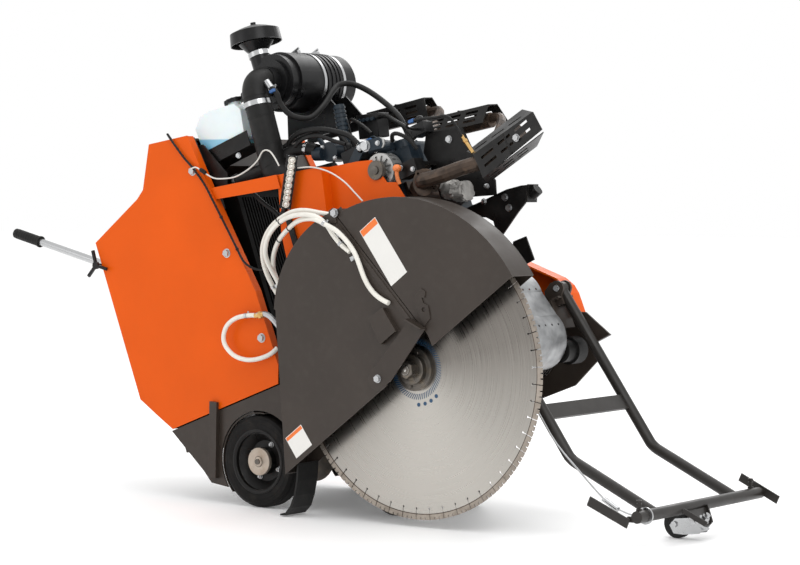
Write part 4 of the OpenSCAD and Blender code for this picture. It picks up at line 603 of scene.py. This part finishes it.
# ------------------------------------------------------------------ blade and guard
def make_blade_details():
    hub = GUARD
    bm = bmesh.new()
    for k in range(72):
        turn = hub @ Matrix.Rotation(math.radians(5 * k), 4, "Y")
        slant = turn @ Matrix.Translation((84, -2.35, 0)) @ Matrix.Rotation(math.radians(24), 4, "Y")
        add_box(bm, slant, (-9.5, -0.1, -1.3), (9.5, 0.3, 1.3))
    piece("printed_tick_ring", bm, "blue_ink", "spindle", 30)
    bm = bmesh.new()
    for k in range(4):
        a = math.radians(-122 + 13 * k)
        add_lathe(bm, at(hub, 108 * math.cos(a), -2.1, 108 * math.sin(a)),
                  [(6.2, 0), (6.2, 0.4), (5.6, 0.5)], 24)
    piece("printed_dots", bm, "blue_ink", "spindle", 30)
    bm = bmesh.new()
    add_lathe(bm, at(hub, 0, -2.0, 0), [(438.6, 0), (438.6, 0.5), (441.6, 0.5), (441.6, 0), (438.6, 0)],
              180, False)
    piece("braze_line", bm, "exhaust_steel", "spindle", 30)
    # Clamping face of the outer flange, washer and shaft end
    bm = bmesh.new()
    f = at(hub, 0, -16, 0)
    add_lathe(bm, f, [(66, 0), (65.5, 1.2), (60, 1.2), (59.4, 0.4), (52, 0.4), (51, 1.4), (46.5, 1.4)], 72)
    f = at(hub, 0, -32, 0)
    add_lathe(bm, f, [(46, 0), (45, 1.2), (34, 1.2), (33, 0.2), (29.4, 0.2)], 56)
    f = at(hub, 0, -58, 0)
    add_lathe(bm, f, [(23, 0), (21.5, 1.0), (16.4, 1.2), (15.2, 0.2), (14, 4.2), (12.4, 5.4), (6, 5.6),
                      (5, 3.6)], 40)
    for k in range(2):
        a = math.radians(40 + 180 * k)
        add_lathe(bm, at(hub, 52 * math.cos(a), -16, 52 * math.sin(a)), [(7, 0), (7, 5), (6, 6)], 20)
    piece("flange_details", bm, "dark_steel", "spindle", 35)


def arc(cx, cz, r, start, end, y, n=40):
    return [(cx + r * math.cos(math.radians(start + (end - start) * k / n)), y,
             cz + r * math.sin(math.radians(start + (end - start) * k / n))) for k in range(n + 1)]


def make_guard_details():
    # Rounded edge where the face meets the rim
    bm = bmesh.new()
    add_tube(bm, GUARD, arc(-15, 25, 507.6, 80.2, -3, -68.6, 72), 2.6, 10, 1)
    add_tube(bm, GUARD, arc(-15, 25, 507.6, 80.2, -3, 37.6, 72), 2.6, 10, 1)
    piece("front_guard_edge", bm, "chassis_paint", "guard_front_body", 60)
    bm = bmesh.new()
    add_tube(bm, GUARD, arc(-40, 210, 347.6, 137, 72.5, -68.6, 56), 2.6, 10, 1)
    add_tube(bm, GUARD, arc(-40, 210, 347.6, 137, 72.5, 37.6, 56), 2.6, 10, 1)
    piece("rear_guard_edge", bm, "chassis_paint", "chassis", 60)
    # Blank pale plates, with one plain coloured strip each
    for name, body, lo, hi, strip in (("front_plate", "guard_front_body", (116, 228), (190, 432), 22),
                                      ("rear_plate", "chassis", (-508, 12), (-430, 87), 13)):
        bm = bmesh.new()
        add_box(bm, GUARD, (lo[0], -71.9, lo[1]), (hi[0], -71.1, hi[1]))
        piece(name, bm, "plate", body, 30, 0.0002)
        bm = bmesh.new()
        add_box(bm, GUARD, (lo[0] + 2, -72.3, hi[1] - strip), (hi[0] - 2, -71.7, hi[1] - 2))
        piece(name + "_strip", bm, "orange_ink", body, 30)
    bm = bmesh.new()
    for q, ang in (((40, 470), 20), ((52, 380), 8)):
        f = GUARD @ Matrix.Translation((q[0], -74.5, q[1])) @ Matrix.Rotation(math.radians(ang), 4, "Y")
        add_box(bm, f, (-13, -2, -7), (13, -0.4, 7))
        add_lathe(bm, at(f, 0, -2, 0), [(6.4, 0), (6.4, 3.4), (5.2, 4.4)], 6)
    piece("hose_clips", bm, "zinc_plate", "chassis", 35, 0.0002)


# ------------------------------------------------------------------ wheels
def make_wheel_details():
    hubs, nuts, lips = bmesh.new(), bmesh.new(), bmesh.new()
    for y, axis, s in ((50, "-Y", 1), (670, "+Y", -1)):
        add_lathe(hubs, at(CHASSIS, 0, y + 18 * s, 0, axis),
                  [(45, 0), (45, 10.4), (44, 11.6), (40, 12.2), (18, 12.2), (16.5, 11.2), (15, 14.6),
                   (13, 15.6), (4, 15.8),
                   (3.4, 12)], 56)
        for k in range(4):
            a = math.radians(45 + 90 * k)
            hex_bolt(nuts, at(CHASSIS, 58 * math.cos(a), y + 44 * s, 58 * math.sin(a), axis), 9)
            add_lathe(nuts, at(CHASSIS, 58 * math.cos(a), y + 38 * s, 58 * math.sin(a), axis),
                      [(4.6, 0), (4.6, 4), (3.8, 5)], 16)
        for k in (0, 1):
            add_lathe(hubs, at(CHASSIS, -9 + 18 * k, y + 7.0 * s, 7, axis),
                      [(2.6, 0), (2.6, 1.8), (2, 2.2)], 14)
        add_lathe(lips, at(CHASSIS, 0, y + 3 * s, 0, axis),
                  [(104.5, 0), (104.5, 2.4), (102.5, 4), (98, 4), (96, 2.4), (93.5, 0.4), (91.8, -3),
                   (91.8, -12), (91.8, -38), (84, -39.4), (80, -42), (70, -43), (64, -43), (104.5, 0)],
                  72, False)
    liner = bmesh.new()
    outer = [(158 * math.cos(math.radians(a)), 158 * math.sin(math.radians(a))) for a in range(62, 204, 4)]
    inner = [(155 * math.cos(math.radians(a)), 155 * math.sin(math.radians(a))) for a in range(62, 204, 4)]
    for y in (126, 658):
        add_prism(liner, at(CHASSIS, 0, y, 0), outer + inner[::-1], 0, 64)
    piece("wheel_arch_liners", liner, "chassis_paint", "chassis", 50)
    piece("axle_hub_discs", hubs, "hub_steel", "rear_wheels", 35)
    piece("wheel_nuts", nuts, "zinc_plate", "rear_wheels", 35, 0.0003)
    piece("rim_lips", lips, "black_paint", "rear_wheels", 50)


# ------------------------------------------------------------------ work light and engine
def make_light_details():
    """Work light: a finned housing with eight round reflectors, turned out towards the blade side."""
    stand = CHASSIS @ Matrix.Translation((444, 48, 795)) @ Matrix.Rotation(math.radians(31), 4, "Y")
    lamp = stand @ Matrix.Rotation(math.radians(-LIGHT_TURN), 4, "Z")
    body, rings, eyes = bmesh.new(), bmesh.new(), bmesh.new()
    add_box(body, lamp, (-6, -17, -86), (12, 17, 86))
    for lo, hi in (((12, -17, -86), (16, -14, 86)), ((12, 14, -86), (16, 17, 86)),
                   ((12, -14, -86), (16, 14, -83)), ((12, -14, 83), (16, 14, 86))):
        add_box(body, lamp, lo, hi)
    for k in range(15):
        add_box(body, lamp, (-18, -15, -84 + 11.6 * k), (-6, 15, -81 + 11.6 * k))
    add_box(body, stand, (-7, -8, -97), (7, 8, -84))
    add_lathe(body, at(stand, 0, 8, -104), [(11, 0), (11, 16)], 28)
    piece("lamp_body", body, "lamp_housing", "lamp", 35, 0.0008, replace=("work_light",))
    pitch_z = 20.2
    for k in range(8):
        f = at(lamp, 12, 0, pitch_z * (k - 3.5), "+X")
        add_lathe(rings, f, [(13.2, 0), (13.2, 1.2), (9.9, 3.6), (9.0, 3.4), (7.0, 1.2)], 32)
        add_lathe(eyes, f, [(6.8, 0.8), (6.4, 2.4), (4.8, 3.8), (2.4, 4.6), (0.5, 4.8)], 24)
    piece("led_reflectors", rings, "reflector", "lamp", 40, replace=("light_lens",))
    piece("led_eyes", eyes, "lamp_lens", "lamp", 60)
    bm = bmesh.new()
    for z in (-84.5, 84.5):
        for y in (-12, 12):
            add_lathe(bm, at(lamp, 15.8, y, z, "+X"), [(1.5, 0), (1.5, 0.8), (1.0, 1.1)], 14)
    piece("lamp_screws", bm, "zinc_plate", "lamp", 35)


def make_engine_details():
    black, loom, silver = bmesh.new(), bmesh.new(), bmesh.new()
    # Corrugated sheaths and small pipes round the head
    looms = [
        ([(404, 150, 930), (430, 142, 946), (486, 132, 950), (560, 130, 930), (612, 138, 902),
          (652, 146, 872), (672, 152, 836)], 8.5),
        ([(452, 120, 912), (500, 118, 922), (560, 120, 906), (606, 124, 872), (640, 132, 848)], 6),
        ([(640, 330, 940), (700, 300, 925), (760, 262, 880), (812, 230, 838), (840, 220, 790)], 7),
        ([(560, 300, 960), (600, 260, 950), (660, 222, 905), (700, 200, 862)], 5),
        ([(790, 170, 800), (812, 150, 812), (836, 146, 806), (858, 160, 780), (868, 176, 742)], 6),
        ([(300, 150, 860), (330, 160, 840), (336, 170, 790), (330, 180, 730)], 9),
        ([(200, 120, 880), (230, 122, 840), (262, 124, 790), (300, 126, 740), (320, 130, 690)], 7),
    ]
    for route, r in looms:
        add_tube(loom, CHASSIS, route, r, 14, 10, ribs=0.9)
    piece("engine_looms", loom, "black_rubber", "chassis", 50)
    # Filter housing, relay box and cover blocks
    coil = CHASSIS @ Matrix.Translation((612, 344, 925)) @ Matrix.Rotation(math.radians(14), 4, "Y")
    add_box(black, coil, (-41, -29, -39), (41, 29, 34))
    add_box(black, coil, (-44, -32, 20), (44, 32, 39))
    for lo, hi in (((596, 150, 786), (668, 216, 834)), ((838, 214, 792), (892, 262, 830)),
                   ((540, 330, 834), (600, 420, 884))):
        add_box(black, CHASSIS, lo, hi)
    for x, z, r in ((612, 838, 14), (648, 836, 11), (866, 834, 12)):
        add_lathe(black, at(CHASSIS, x, 178 if x < 700 else 238, z, "+Z"),
                  [(r, 0), (r, 16), (r * 0.8, 20), (r * 0.5, 22)], 24)
    piece("engine_boxes", black, "black_plastic", "chassis", 35, 0.0022)
    # Fasteners and rings on the engine
    for x, y, z, size in ((718, 176, 794, 9), (700, 118, 812, 10), (771, 118, 800, 8), (816, 136, 700, 8),
                          (858, 136, 680, 8), (566, 158, 830, 7), (530, 158, 880, 7)):
        hex_bolt(silver, at(CHASSIS, x, y, z), size)
    piece("engine_bolts", silver, "zinc_plate", "chassis", 35, 0.0003)
    # Plug connectors and the boot on the alternator's terminal
    bm = bmesh.new()
    for p in ((919, 118, 815), (452, 92, 1104), (690, 190, 842)):
        add_box(bm, CHASSIS @ Matrix.Translation(p), (-9, -6, -5), (9, 6, 5))
        add_box(bm, CHASSIS @ Matrix.Translation(p), (-13, -4, -3), (-9, 4, 3))
    piece("plug_connectors", bm, "blue", "chassis", 35, 0.0008)
    bm = bmesh.new()
    add_tube(bm, CHASSIS, [(818, 112, 694), (812, 112, 684), (808, 114, 668), (806, 118, 650)], 6.5, 16, 6)
    add_lathe(bm, at(CHASSIS, 817, 122, 698, "-Y"), [(11, 0), (12.5, 6), (12, 14), (9, 19), (3, 21)], 24)
    piece("terminal_boot", bm, "orange_rubber", "chassis", 60)
    # Painted adjusting arm, over its plate
    bm = bmesh.new()
    add_prism(bm, at(CHASSIS, 0, 126, 0), [(605, 757), (627, 729), (718, 806), (694, 827)], 0, 8)
    add_prism(bm, at(CHASSIS, 0, 126, 0), [(700, 830), (782, 816), (790, 806), (788, 790), (778, 780),
                                           (697, 794),
                                           (688, 802), (690, 822)], 0, 8)
    piece("adjusting_arm", bm, "engine_paint", "chassis", 35, 0.0006)
    # Alternator pulley with its grooves
    bm = bmesh.new()
    add_lathe(bm, at(CHASSIS, 742, 119, 720, "-Y"),
              [(30, 0), (30, 2), (26, 4), (30, 6), (26, 8), (30, 10), (26, 12), (30, 14), (29, 16),
               (14, 16), (13, 20), (6, 21)], 40)
    piece("alternator_pulley", bm, "dark_steel", "chassis", 40)


def make_exhaust_details():
    bm = bmesh.new()
    add_tube(bm, CHASSIS, [(940, 170, 585), (965, 160, 572), (990, 156, 556), (1020, 156, 548)], 30, 28,
             6, ribs=1.8)
    for v in bm.verts:
        v.co += Vector([random.uniform(-2.2, 2.2) * MM for _ in range(3)])
    piece("heat_wrap", bm, "heat_wrap", "chassis", 30)
    bm = bmesh.new()
    for x, z in ((1020, 628), (1026, 560), (1000, 520)):
        hex_bolt(bm, at(CHASSIS, x, 250, z), 9)
    piece("flange_nuts", bm, "zinc_plate", "chassis", 35, 0.0003)
    bm = bmesh.new()
    f = aim(CHASSIS, (1085, 118, 687), (1098, 116, 650))
    add_lathe(bm, f, [(5, -18), (5, 0), (8, 0), (8, 9), (6, 9), (6, 52)], 6)
    piece("oxygen_sensor", bm, "brass", "chassis", 35)
    bm = bmesh.new()
    add_tube(bm, CHASSIS, [(920, 118, 815), (960, 116, 806), (1010, 112, 790), (1052, 110, 778),
                           (1072, 112, 744), (1080, 116, 700)], 4.5, 12, 6)
    add_tube(bm, CHASSIS, [(906, 118, 815), (884, 134, 812), (868, 170, 812), (862, 214, 812)], 4, 12, 6)
    piece("sensor_lead", bm, "black_rubber", "chassis", 60)


def make_console_details():
    bm = bmesh.new()
    for x, z in ((67, 976), (111, 674), (154, 369)):
        add_lathe(bm, at(CHASSIS, x, 58, z), [(15, 0), (15, 1.6), (13.6, 2.2)], 24)
    piece("panel_washers", bm, "zinc_plate", "chassis", 35)
    # Dials, with plain strokes on their faces, and four small marks on the panel face
    face = CHASSIS @ Matrix.Translation((-434, 0, 907)) @ Matrix.Rotation(-math.atan2(70, 234), 4, "Y")
    bezels, glass, strokes = bmesh.new(), bmesh.new(), bmesh.new()
    for x, y, r in ((140, 300, 42), (110, 370, 10), (110, 400, 10), (110, 430, 10), (140, 560, 16)):
        top = 50 if r != 10 else 46
        f = face @ Matrix.Translation((x, y, top))
        add_lathe(bezels, f, [(r, -1), (r, 1.5), (r * 0.94, 2.4), (r * 0.86, 2.0), (r * 0.84, 0.6),
                              (r * 0.84, -1)], 48, False)
        add_lathe(glass, f, [(r * 0.85, -0.5), (r * 0.85, 0.5)], 40)
        if r > 10:
            for k in range(11):
                g = f @ Matrix.Rotation(math.radians(-120 + 24 * k), 4, "Z")
                add_box(strokes, g, (-r * 0.02, r * 0.6, 0.5), (r * 0.02, r * 0.78, 0.9))
            add_box(strokes, f @ Matrix.Rotation(math.radians(-50), 4, "Z"), (-r * 0.02, 0, 0.9),
                    (r * 0.02, r * 0.6, 1.5))
    for k in range(4):
        add_box(strokes, face, (40, 387 + 24 * k, 15.9), (42, 389 + 24 * k, 16.3))
    piece("dial_bezels", bezels, "zinc_plate", "chassis", 35)
    piece("dial_faces", glass, "black_plastic", "chassis", 35)
    piece("dial_strokes", strokes, "plate", "chassis", 35)
    # Folded lip along the rear edge of each side panel
    bm = bmesh.new()
    for y in (59.5, 660.5):
        for a, b in (((-434, 907), (-426, 347)), ((-426, 347), (-362, 262)), ((-362, 262), (-321, 210)),
                     ((-434, 907), (-200, 977)), ((-200, 977), (-164, 997)), ((-164, 997), (-85, 1128)),
                     ((-85, 1128), (84, 1093))):
            add_tube(bm, CHASSIS, [(a[0], y, a[1]), (b[0], y, b[1])], 1.9, 8, 1)
    piece("panel_edges", bm, "orange_paint", "chassis", 60)


make_camera()
make_materials()
make_studio()
dress_nodes()
make_hoses()
make_blade_details()
make_guard_details()
make_wheel_details()
make_light_details()
make_engine_details()
make_exhaust_details()
make_console_details()
